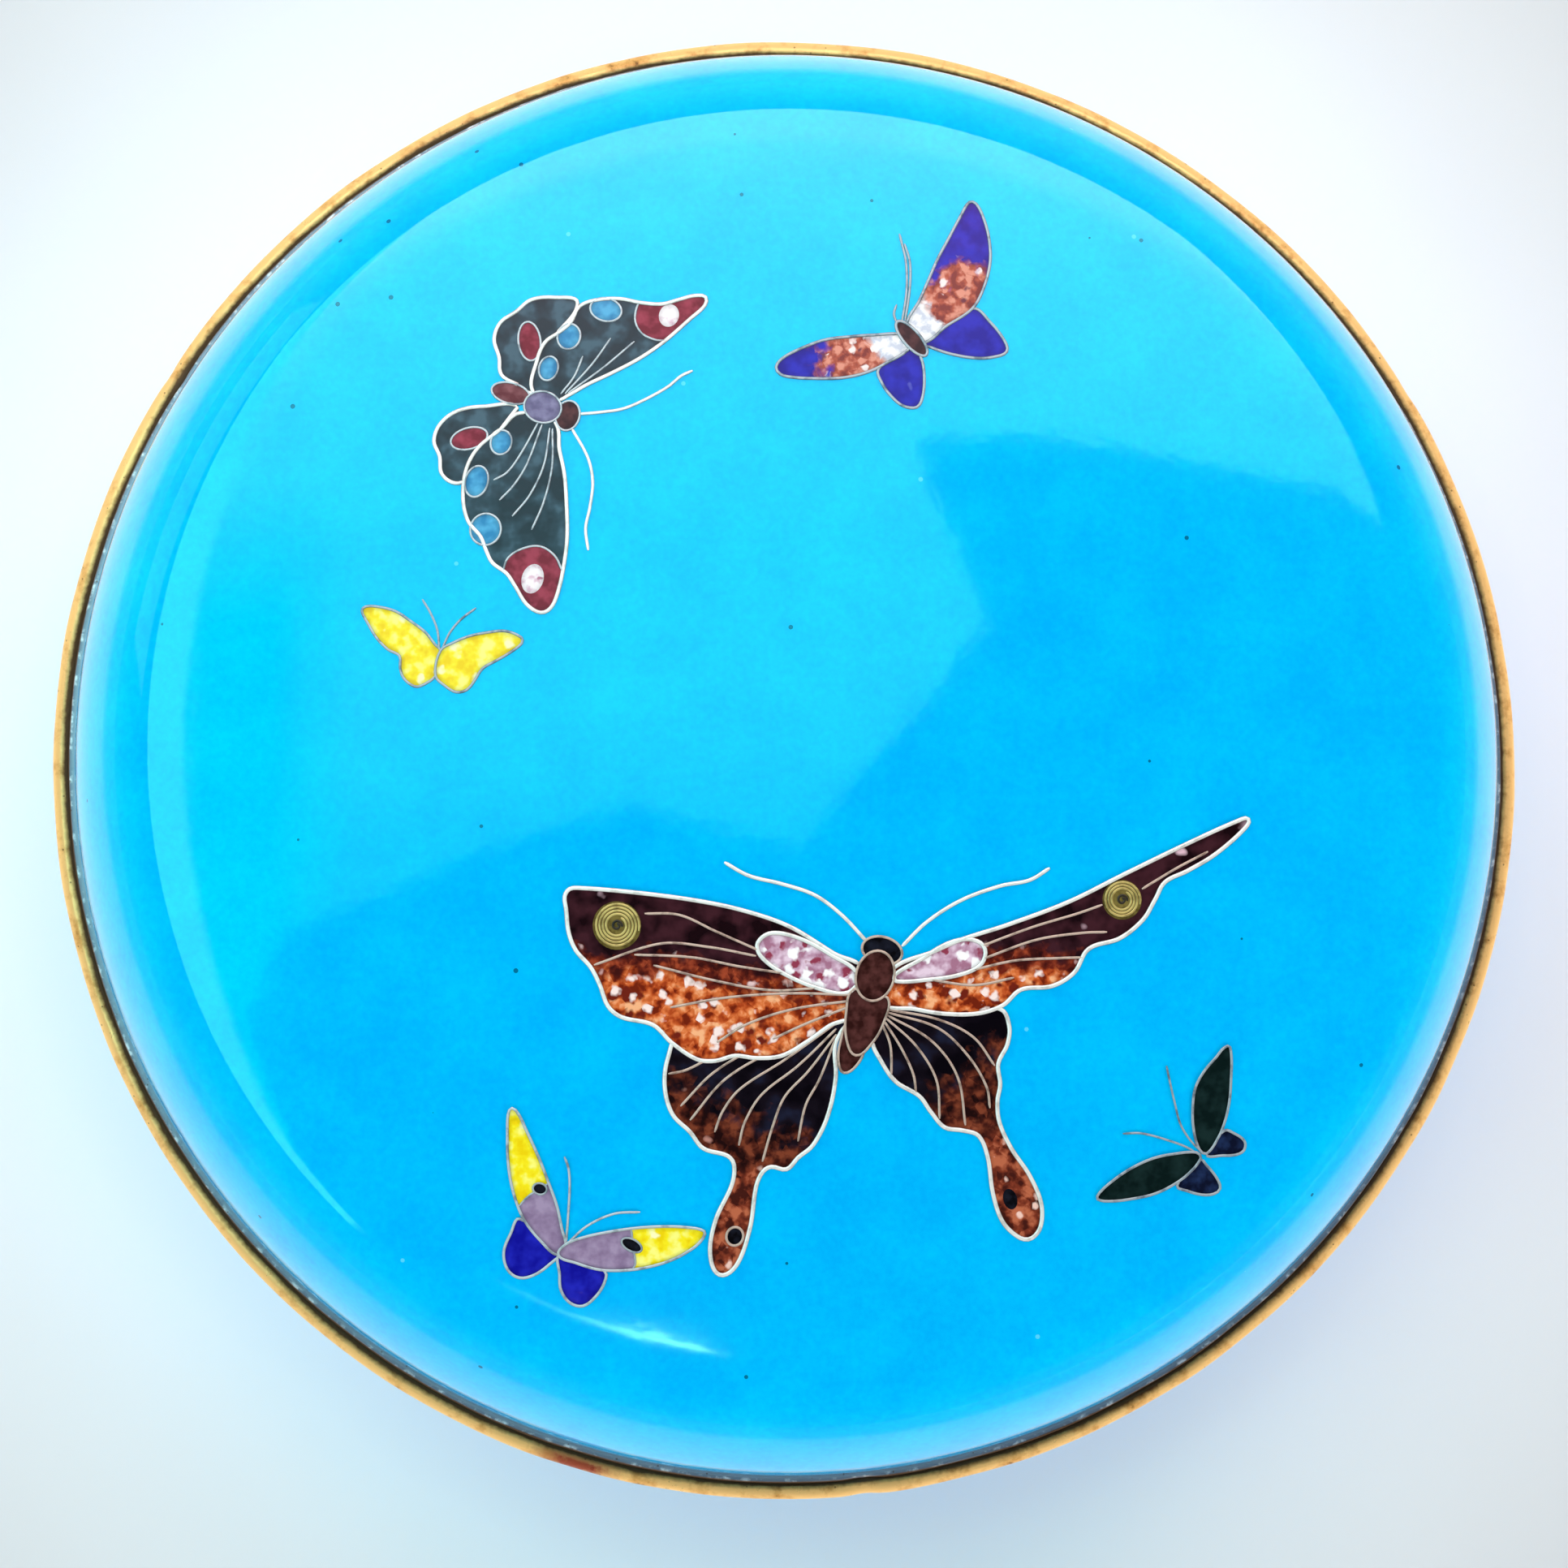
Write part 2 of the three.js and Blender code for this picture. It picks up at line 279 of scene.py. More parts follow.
def coilLine(x, y, outer, inner, turns, steps=28):
    count = round(turns * steps)
    spots = []
    for step in range(count + 1):
        angle = math.tau * step / steps
        radius = outer + (inner - outer) * step / count
        spots.append(Vector((x + radius * math.cos(angle), y + radius * math.sin(angle), 0)))
    return spots


def cellLine(cell):
    if "oval" in cell:
        return ovalLine(*cell["oval"])
    return smoothLine(cell["points"], closed=True)


def covered(spot, outlines):  # whether a spot lies inside any of the closed outlines
    for outline in outlines:
        crossings = 0
        last = outline[-1]
        for here in outline:
            if (here.y > spot.y) != (last.y > spot.y):
                crossings += here.x + (spot.y - here.y) * (last.x - here.x) / (last.y - here.y) > spot.x
            last = here
        if crossings % 2:
            return True
    return False


def crossing(seen, hidden, outlines):  # where a line goes under an outline
    for _ in range(5):
        middle = (seen + hidden) / 2
        if covered(middle, outlines):
            hidden = middle
        else:
            seen = middle
    return seen


def clearRuns(line, closed, outlines):  # the stretches of a wire that no cell above it hides
    spots = line + line[:1] if closed else line
    hidden = [covered(spot, outlines) for spot in spots]
    if not any(hidden):
        return [(line, closed)]
    runs = [[]]
    for index, spot in enumerate(spots):
        if index and hidden[index] != hidden[index - 1]:
            pair = (spots[index - 1], spot) if hidden[index] else (spot, spots[index - 1])
            runs[-1].append(crossing(*pair, outlines))
        if not hidden[index]:
            runs[-1].append(spot)
        elif runs[-1]:
            runs.append([])
    runs = [run for run in runs if len(run) > 2]
    if closed and not hidden[0] and len(runs) > 1:  # the last stretch goes on into the first
        runs[0] = runs.pop()[:-1] + runs[0]
    return [(run, False) for run in runs]


def signedGap(spot, line):  # distance from a line, positive on its left
    best = None
    for start, end in zip(line, line[1:]):
        along = end - start
        share = min(1, max(0, (spot - start).dot(along) / along.length_squared))
        gap = spot - (start + along * share)
        if best is None or gap.length < abs(best):
            best = math.copysign(gap.length, along.x * gap.y - along.y * gap.x)
    return best


cellDepth = 0.3  # how far each cell and wire goes down into the ground
gridStep = 0.45


def addCell(mesh, outline, lift, finish, borders=()):  # one enamel cell, closed all round
    ring = [mesh.verts.new((spot.x, spot.y, lift)) for spot in outline]
    edges = [mesh.edges.new((ring[index - 1], ring[index])) for index in range(len(ring))]
    made = bmesh.ops.contextual_create(mesh, geom=edges)["faces"]
    parts = made + ring + edges
    for axis in (0, 1):
        low = min(spot[axis] for spot in outline)
        high = max(spot[axis] for spot in outline)
        direction = Vector((axis == 0, axis == 1, 0))
        for cut in range(1, math.ceil((high - low) / gridStep)):
            parts = bmesh.ops.bisect_plane(mesh, geom=parts, dist=0.0001, plane_no=direction,
                                           plane_co=direction * (low + cut * gridStep))["geom"]
    faces = [part for part in parts if isinstance(part, bmesh.types.BMFace)]
    verts = [part for part in parts if isinstance(part, bmesh.types.BMVert)]
    layers = mesh.verts.layers.float
    flat = [Vector((vert.co.x, vert.co.y, 0)) for vert in verts]
    for vert, spot in zip(verts, flat):
        vert[layers["inward"]] = min((spot - other).length for other in outline)
        for index, border in enumerate(borders):
            vert[layers["border" + "AB"[index]]] = signedGap(spot, border)
    copied = bmesh.ops.extrude_face_region(mesh, geom=faces, use_keep_orig=True)["geom"]
    lower = [part for part in copied if isinstance(part, bmesh.types.BMVert)]
    bmesh.ops.translate(mesh, vec=(0, 0, -cellDepth), verts=lower)
    skirt = set(faces) | {face for vert in lower for face in vert.link_faces}
    for face in skirt:
        face.material_index = finish


wireCrown = 0.05  # how far the middle of a wire stands above its edges
wireFlats = 8  # flats round a wire
wireEnd = 0.55  # how much of its width a wire keeps at its ends


def addWire(mesh, line, width, lift, closed, finish):  # a flat-oval wire laid along a line
    count = len(line)
    columns = count if closed else count - 1
    known = set(mesh.faces)
    crown = mesh.verts.layers.float["crown"]
    made = bmesh.ops.create_grid(mesh, x_segments=columns, y_segments=wireFlats, size=1)["verts"]
    for vert in made:
        step = round((vert.co.x + 1) / 2 * columns)
        angle = vert.co.y * math.pi
        before = line[step - 1] if closed or step else line[0]
        after = line[(step + 1) % count] if closed or step < columns else line[-1]
        along = (after - before).normalized()
        side = Vector((-along.y, along.x, 0))
        taper = 1 if closed or 0 < step < columns else wireEnd
        out = side * (math.cos(angle) * width / 2 * taper)
        rise = wireCrown if math.sin(angle) > 0 else cellDepth
        vert[crown] = max(0, math.sin(angle))
        vert.co = line[step % count] + out + Vector((0, 0, lift + rise * math.sin(angle)))
    bmesh.ops.remove_doubles(mesh, verts=made, dist=weld)
    fresh = [face for face in mesh.faces if face not in known]
    for face in fresh:
        face.material_index = finish
    if not closed:
        rims = list({edge for face in fresh for edge in face.edges if edge.is_boundary})
        for cap in bmesh.ops.holes_fill(mesh, edges=rims)["faces"]:
            cap.material_index = finish


# The turned pieces: lid, bowl, bands and foot ring

lid = {
    "capRadius": 260, "capReach": 43.6, "easeRadius": 45, "easeSlope": 13, "shoulderRadius": 5.9,
    "shoulderSlope": 62, "mouthSlope": 88, "wall": 1.8, "lip": 52.3,
}
lidTop = highest("lid").z
enamelRadius = highest("lid").x


def lidHeight(radius):  # height of the lid's domed top
    return lidTop - lid["capRadius"] + math.sqrt(lid["capRadius"] ** 2 - radius**2)


def lidSurface(depth):
    capSlope = math.degrees(math.asin(lid["capReach"] / lid["capRadius"]))
    slopes = (capSlope, lid["easeSlope"], lid["shoulderSlope"], lid["mouthSlope"])
    sines = [math.sin(math.radians(slope)) for slope in slopes]
    sideRadius = enamelRadius - lid["capReach"] - lid["easeRadius"] * (sines[1] - sines[0])
    sideRadius -= lid["shoulderRadius"] * (sines[2] - sines[1])
    sideRadius /= sines[3] - sines[2]
    profile = [(0, lidTop - depth)]
    turnTo(profile, lid["capRadius"] - depth, 0, capSlope, 40, 1)
    turnTo(profile, lid["easeRadius"] - depth, capSlope, lid["easeSlope"], 8, 1)
    turnTo(profile, lid["shoulderRadius"] - depth, lid["easeSlope"], lid["shoulderSlope"], 30, 1)
    turnTo(profile, sideRadius - depth, lid["shoulderSlope"], lid["mouthSlope"], 16, 1)
    return profile


def buildShell(name, surface, shape, mouth, node):  # glass outside and inside, bare copper at the lip
    mesh = bmesh.new()
    outside, inside = surface(0), surface(shape["wall"])
    edge, inner = outside[-1], inside[-1][0]
    lathe(mesh, outside, 0)
    lathe(mesh, inside, 1)
    lathe(mesh, [inside[-1], (inner, mouth), (shape["lip"], mouth), (shape["lip"], edge[1]), edge], 2)
    closeUp(mesh)
    finishPiece(mesh, name, [turquoise, counterEnamel, copper], "turquoise_enamel", [node])


bowl = {"turnRadius": 11, "turnSlope": 50, "mouthSlope": 88, "enamelTop": 21.1, "wall": 1.8, "lip": 52.3}


def bowlSurface(depth):
    slopes = [math.radians(bowl["turnSlope"]), math.radians(bowl["mouthSlope"])]
    floorHeight = lowest("base").z
    sideRadius = bowl["enamelTop"] - floorHeight - bowl["turnRadius"] * (1 - math.cos(slopes[0]))
    sideRadius /= math.cos(slopes[0]) - math.cos(slopes[1])
    floorRadius = enamelRadius - bowl["turnRadius"] * math.sin(slopes[0])
    floorRadius -= sideRadius * (math.sin(slopes[1]) - math.sin(slopes[0]))
    profile = [(floorRadius * step / 12, floorHeight + depth) for step in range(13)]
    turnTo(profile, bowl["turnRadius"] - depth, 0, bowl["turnSlope"], 20, -1)
    turnTo(profile, sideRadius - depth, bowl["turnSlope"], bowl["mouthSlope"], 24, -1)
    return profile


def beadArc(centreRadius, centreHeight, radius, fromAngle, toAngle, steps):
    angles = [math.radians(fromAngle + (toAngle - fromAngle) * step / steps) for step in range(steps + 1)]
    return [(centreRadius + radius * math.cos(a), centreHeight + radius * math.sin(a)) for a in angles]


lumps = {"round": 9, "up": 0.15}  # how quickly the unevenness changes


def dent(mesh, depth, spots):  # hand-worn unevenness, and a few knocks given as (angle, width, depth)
    for vert in mesh.verts:
        outward = Vector((vert.co.x, vert.co.y, 0)).normalized()
        angle = math.degrees(math.atan2(vert.co.y, vert.co.x))
        push = depth * noise.noise(outward * lumps["round"] + Vector((0, 0, vert.co.z * lumps["up"])))
        for place, width, knock in spots:
            gap = (angle - place + 180) % 360 - 180
            push -= knock * math.exp(-((gap / width) ** 2))
        vert.co += outward * push


lidBand = {
    "ledge": 53.6, "ledgeDrop": 0.55, "bead": 0.85, "beadHeight": 25.1, "lip": 52.3, "rounding": 0.1,
    "unevenness": 0.07, "knocks": [(-84, 1.1, 0.16), (-107, 2.2, 0.05), (148, 0.9, 0.08), (31, 1.2, 0.07)],
}


def buildRing(name, profile, shape, finish, node, steps=roundSteps):
    mesh = bmesh.new()
    lathe(mesh, profile, steps=steps)
    closeUp(mesh)
    if "knocks" in shape:
        dent(mesh, shape["unevenness"], shape["knocks"])
    finishPiece(mesh, name, [finish], "gilt_brass", [node])


def buildLidBand():
    top = lidSurface(0)[-1][1]
    seam = lowest("lid_rim").z
    outer = highest("lid_rim").x - lidBand["bead"]
    bead = beadArc(outer, lidBand["beadHeight"], lidBand["bead"], -75, 115, 20)
    soft = lidBand["rounding"]
    ledge = beadArc(lidBand["ledge"] - soft, top - soft, soft, 0, 90, 3)
    lip = lidBand["lip"]
    profile = [(lip, seam), (bead[0][0], seam), *bead, (lidBand["ledge"], top - lidBand["ledgeDrop"]),
               *ledge, (lip, top), (lip, seam)]
    buildRing("lidBand", profile, lidBand, lidGilt, "lid_rim", roundSteps * 2)


bowlBand = {
    "ledge": 53.5, "bead": 0.9, "beadHeight": 22.9, "lip": 52.3, "under": 23.2, "skirt": 21.8,
    "flangeInner": 50.1, "flangeOuter": 51, "chamfer": 0.15,
    "unevenness": 0.06, "knocks": [(-60, 1.4, 0.08), (120, 1.1, 0.1)],
}


def buildBowlBand():
    seam = lowest("lid_rim").z
    top = highest("base_rim").z
    low = lowest("base_rim").z
    outer = highest("base_rim").x - bowlBand["bead"]
    bead = beadArc(outer, bowlBand["beadHeight"], bowlBand["bead"], -100, 75, 20)
    inner, collar, chamfer = bowlBand["flangeInner"], bowlBand["flangeOuter"], bowlBand["chamfer"]
    profile = [(inner, bowlBand["skirt"]), (collar, bowlBand["skirt"]), (collar, bowlBand["under"]),
               (bowlBand["lip"], bowlBand["under"]), (bowlBand["lip"], low), (bowlBand["ledge"], low), *bead,
               (bead[-1][0], seam), (collar, seam), (collar, top - chamfer), (collar - chamfer, top),
               (inner + chamfer, top), (inner, top - chamfer), (inner, bowlBand["skirt"])]
    buildRing("bowlBand", profile, bowlBand, bowlGilt, "base_rim")


footRing = {"inner": 35.5, "foot": 37.9, "splay": 0.7, "edge": 0.3, "lean": 0.1, "rounding": 0.3}


def buildFootRing():
    top = highest("foot_ring").z
    outer = highest("foot_ring").x
    soft = footRing["rounding"]
    inner, foot, splay = footRing["inner"], footRing["foot"], footRing["splay"]
    profile = [(inner + soft, 0), (foot - soft, 0), (foot, soft * 0.4), (outer, splay),
               (outer - footRing["lean"], splay + footRing["edge"]), (foot, top), (inner, top), (inner, soft),
               (inner + soft, 0)]
    buildRing("footRing", profile, footRing, footGilt, "foot_ring")


# Finishes of the ground and the bands

turquoiseLook = {
    "deep": "00aefa", "light": "00c2ff", "pit": "044668", "speck": "78e2fa",
    "mottle": 5, "pitSize": 3.2, "pitRadius": 0.055, "speckSize": 4.1, "speckRadius": 0.04,
    "even": {"Roughness": 0.06, "IOR": 1.7, "Specular Tint": (0.27, 1.0, 0.8, 1.0)},
}


def makeTurquoise():
    look = turquoiseLook
    finish = Finish("fusedTurquoise", look["even"])
    grain = finish.cloud(0.5, 3)
    mottle = finish.cloud(look["mottle"], 4) * 0.5 + grain * 0.5
    ground = finish.ramp(mottle, [(0.35, look["deep"]), (0.65, look["light"])])
    near = finish.chips(look["pitSize"], "Distance")
    pit = (near < look["pitRadius"]) * (finish.chance(look["pitSize"]) > 0.62)
    near = finish.chips(look["speckSize"], "Distance", 40)
    speck = (near < look["speckRadius"]) * (finish.chance(look["speckSize"], 40) > 0.7)
    colour = finish.mix(pit * 0.8, ground, look["pit"])
    colour = finish.mix(speck * 0.5, colour, look["speck"])
    ripple = finish.cloud(2.6, 2) * 0.6 + finish.cloud(0.8, 1) * 0.12 - pit * 1.5
    finish.feed(colour=colour, normal=finish.bump(ripple, 0.012))
    return finish.material


def makeCounterEnamel():
    finish = Finish("counterEnamel", {"Roughness": 0.24, "IOR": 1.55})
    flecks = finish.chance(0.7)
    ground = finish.ramp(finish.cloud(3.5, 5), [(0.3, "16769e"), (0.7, "2e96b8")])
    colour = finish.mix((flecks > 0.86) * 0.45, ground, "60b2c4")
    colour = finish.mix((flecks < 0.07) * 0.6, colour, "144058")
    finish.feed(colour=colour, normal=finish.bump(finish.cloud(1.4, 3), 0.05))
    return finish.material


def makeCopper():
    finish = Finish("oldCopper", {"Metallic": 1.0})
    stain = finish.cloud(1.8, 4)
    colour = finish.ramp(stain, [(0.3, "5c3020"), (0.7, "b06848")])
    finish.feed(colour=colour, roughness=stain * 0.5 + 0.2, normal=finish.bump(finish.cloud(0.4, 3), 0.02))
    return finish.material


giltLook = {
    "gold": "faca80", "deepGold": "daa25a", "brown": "543016", "slate": "74808e",
    "glint": "d6dcde", "wash": "8696a2", "grooveShadeAndPatina": "544030", "red": "9e4c36",
}
lidWearAndShade = {"wash": 53.36, "ledge": 53.62, "groove": 53.74, "width": 0.25, "brown": 53.92, "fade": 0.4}
lidRedSpot = {"at": (-15.6, -52, 25.9), "reach": 2.6}


def makeGilt(name, worn=None, redSpot=None):  # gilding worn to brown, dark in the hollows with patina and painted shade
    look = giltLook
    finish = Finish(name, {"Metallic": 0.3, "Specular Tint": (1.0, 0.86, 0.62, 1.0)})
    broad = finish.cloud(2.6, 4, 0.6)
    fine = finish.cloud(0.5, 3, 0.6)
    age = broad * 0.75 + fine * 0.25
    colour = finish.ramp(age, [(0.29, look["brown"]), (0.37, look["deepGold"]), (0.5, look["gold"])])
    roughness = 0.55 - age * 0.44
    if worn:  # brown beside the groove from wear and painted shade, dark in it with patina and painted shade, and bare metal on the ledge next to the enamel with painted highlights
        # partly wear and partly painted shade: the bead turns brown on its inner side, towards the groove
        stretch = finish.cloud(16, 2)
        radius = finish.radius() + (broad - 0.5) * 0.3 + (fine - 0.5) * 0.25 + (stretch - 0.5) * 0.7
        rubAndShade = ((radius - worn["brown"]) / worn["fade"]).clamped()
        colour = finish.mix(rubAndShade, look["brown"], colour)
        radius = finish.radius() + (broad - 0.5) * 0.16
        # patina and painted shade: the gilding darkened in the groove between ledge and bead
        groove = (1 - ((radius - worn["groove"]) / worn["width"]).maths("ABSOLUTE")).clamped()
        ledge = ((worn["ledge"] - radius) / 0.08).clamped()
        # painted highlights: bright silver glints flecked over the ledge's slate
        metal = finish.ramp(finish.cloud(0.9, 3, 0.6), [(0.52, look["slate"]), (0.66, look["glint"])])
        metal = finish.mix(((worn["wash"] - radius) / 0.16 + 0.5).clamped(), metal, look["wash"])
        colour = finish.mix(ledge, colour, metal)
        colour = finish.mix((groove * 1.6).clamped(), colour, look["grooveShadeAndPatina"])
        roughness = roughness + groove * 0.3
    if redSpot:
        near = (1.4 - finish.distance(redSpot["at"]) / redSpot["reach"] + (fine - 0.5) * 1.2).clamped()
        colour = finish.mix(near * rubAndShade, colour, look["red"])
    pits = (finish.chips(0.6, "Distance") < 0.13) * (finish.chance(0.6) > 0.8)
    colour = finish.mix(pits * 0.6, colour, look["brown"])
    finish.feed(colour=colour, roughness=roughness.clamped(), normal=finish.bump(fine + pits * -0.7, 0.04))
    return finish.material


# Enamels of the butterflies. Each fill is a cloud of tones, with a grain of crushed glass and paler flecks.

fills = {
    "aubergine": {"size": 1.6, "stops": [(0.38, "18090e"), (0.62, "3e1e26")],
                  "flecks": [(2.3, 0.16, 0.25, "deb8c6")]},
    "ember": {"size": 0.9, "grain": 0.6, "stops": [(0.38, "3e1412"), (0.5, "682418"), (0.62, "a0442a")],
              "flecks": [(1.3, 0.26, 0.3, "e8c4c4")]},
    "goldstone": {"size": 0.9, "grain": 0.6,
                  "stops": [(0.36, "702210"), (0.46, "b44820"), (0.56, "dc743e"), (0.68, "f4b082")],
                  "flecks": [(1.2, 0.42, 0.45, "6e2216"), (1.0, 0.42, 0.5, "fae2de")]},
    "night": {"size": 2.2, "stops": [(0.38, "08060c"), (0.52, "140f18"), (0.68, "1e2238")]},
    "umber": {"size": 1.0, "grain": 0.6, "stops": [(0.38, "1e0c0c"), (0.5, "481e16"), (0.64, "7c3c28")],
              "flecks": [(1.6, 0.2, 0.2, "c88c80")]},
    "russet": {"size": 0.9, "grain": 0.6, "stops": [(0.38, "421a14"), (0.5, "7e3624"), (0.62, "b86446")],
               "flecks": [(1.1, 0.28, 0.3, "eec4b8")]},
    "petal": {"size": 0.9, "stops": [(0.4, "a6708a"), (0.5, "c69eb6"), (0.62, "e6ccde")],
              "flecks": [(0.9, 0.46, 0.5, "923a50"), (0.95, 0.5, 0.55, "fdf8fc")]},
    "maroon": {"size": 0.8, "stops": [(0.38, "2e1412"), (0.62, "542e2c")]},
    "ink": {"size": 0.8, "stops": [(0.36, "08080c"), (0.64, "1c1e2a")]},
    "straw": {"size": 0.5, "stops": [(0.36, "544822"), (0.64, "7e6e3a")]},
    "slate": {"size": 1.6, "stops": [(0.38, "1c3238"), (0.52, "2a444e"), (0.64, "42606e")]},
    "crimson": {"size": 0.9, "stops": [(0.38, "741c2a"), (0.62, "9c384a")]},
    "garnet": {"size": 0.9, "stops": [(0.36, "60282c"), (0.64, "8a5458")]},
    "pearl": {"size": 0.6, "stops": [(0.36, "e0bece"), (0.52, "faf2f6")],
              "flecks": [(0.8, 0.26, 0.4, "ba7a92")]},
    "scallop": {"size": 0.9, "stops": [(0.36, "2c84b8"), (0.64, "52acd8")]},
    "lavender": {"size": 0.8, "stops": [(0.36, "625e82"), (0.64, "8682a6")]},
    "ultramarine": {"size": 1.3, "stops": [(0.38, "101294"), (0.62, "2026b6")],
                    "flecks": [(2.2, 0.12, 0.3, "96a0e8")]},
    "coral": {"size": 0.8, "grain": 0.6, "stops": [(0.38, "82362c"), (0.5, "b4563e"), (0.62, "de927c")],
              "flecks": [(0.95, 0.34, 0.32, "70343e"), (0.85, 0.36, 0.42, "fce6e4")]},
    "milk": {"size": 0.6, "stops": [(0.38, "ccd0e0"), (0.54, "faf8fa")]},
    "yellow": {"size": 1.0, "stops": [(0.36, "f2d010"), (0.5, "fae624"), (0.64, "fdf682")],
               "flecks": [(1.3, 0.36, 0.35, "fffcbe")]},
    "lilac": {"size": 0.9, "stops": [(0.36, "867092"), (0.64, "a28eae")]},
    "bottle": {"size": 1.0, "stops": [(0.36, "081818"), (0.64, "162a2a")]},
    "navy": {"size": 0.8, "stops": [(0.36, "0c1228"), (0.64, "1e2e54")]},
}

# Several fills in one cell, each from a border of that cell on: (fill, border, start, softness)
blends = {
    "dusk": [("aubergine", "", 0, 0), ("ember", "A", -0.6, 1.2), ("goldstone", "A", 0.7, 1.3)],
    "nightfall": [("night", "", 0, 0), ("umber", "A", 0, 2.2), ("russet", "B", 0, 1.4)],
    "slateTipped": [("slate", "", 0, 0), ("crimson", "A", 0, 0)],
    "blueWing": [("milk", "", 0, 0), ("coral", "A", 0, 0.7), ("ultramarine", "B", 0, 1.6)],
    "lilacWing": [("lilac", "", 0, 0), ("yellow", "A", 0, 0)],
}
enamelEven = {"Roughness": 0.08, "IOR": 1.6, "Specular Tint": (0.4, 0.25, 0.3, 1.0)}


def fillColour(finish, name):
    fill = fills[name]
    shade = finish.cloud(fill["size"], 2.5, 0.5)
    if "grain" in fill:
        shade = shade + (finish.chance(fill["grain"]) - 0.5) * 0.14
    colour = finish.ramp(shade, fill["stops"])
    for order, (size, reach, share, paint) in enumerate(fill.get("flecks", [])):
        seed = 5 + order * 9
        ragged = (finish.cloud(size * 0.5, 1) - 0.5) * 0.7
        fleck = ((reach + ragged - finish.chips(size, "Distance", seed)) / 0.16).clamped()
        colour = finish.mix(fleck * (finish.chance(size, seed) < share), colour, paint)
    return colour


def makeEnamel(name):
    finish = Finish(name + "Enamel", enamelEven)
    recipe = blends.get(name, [(name, "", 0, 0)])
    colour = fillColour(finish, recipe[0][0])
    for fill, border, start, soft in recipe[1:]:
        gap = finish.written("border" + border) - start
        if soft:
            gap = gap + (finish.cloud(1.3, 2) - 0.5) * soft * 2.4 + (finish.chance(0.6, 3) - 0.5) * soft * 0.4
        colour = finish.mix((gap / max(soft * 0.7, 0.06) + 0.5).clamped(), colour, fillColour(finish, fill))
    shade = (finish.written("inward") / 0.4).clamped() * 0.3 + 0.7  # painted shade: darker against the wires
    grey = finish.node("ShaderNodeCombineColor", None, {0: shade, 1: shade, 2: shade})
    colour = finish.mix(1.0, colour, grey, "MULTIPLY")
    finish.feed(colour=colour, normal=finish.bump(finish.cloud(0.9, 2), 0.012))
    return finish.material


wires = {  # each wire's light and worn tones
    "silver": ["fcfaf7", "ded8d4"],
    "tan": ["ceb4a6", "967c70"],
    "ash": ["c4ced6", "8c96a0"],
    "grey": ["acb6c0", "707c8a"],
    "brass": ["cab46c", "9e884c"],
    "dark": ["342c22", "1e1a16"],
}


def makeWire(name):
    light, worn = wires[name]
    finish = Finish(name + "Wire", {"Metallic": 0.35})
    wear = finish.cloud(0.9, 3)
    edge = (1 - finish.written("crown") / 0.75).clamped()
    colour = finish.mix(edge * 0.8, finish.ramp(wear, [(0.34, worn), (0.5, light)]), "3a3c42")
    finish.feed(colour=colour, roughness=wear * 0.3 + 0.25, normal=finish.bump(finish.cloud(0.2, 2), 0.01))
    return finish.material


# The butterflies, each in its own frame: head towards +y, left wings at -x.
# Cells lie over one another in the order given, and marks lie within their cell. A cell is ringed by the
# butterfly's outline wire and a mark by its vein wire, unless its edge says otherwise. An oval is given as
# its middle's place, its two half widths and its turn, and a coil by its number of turns.

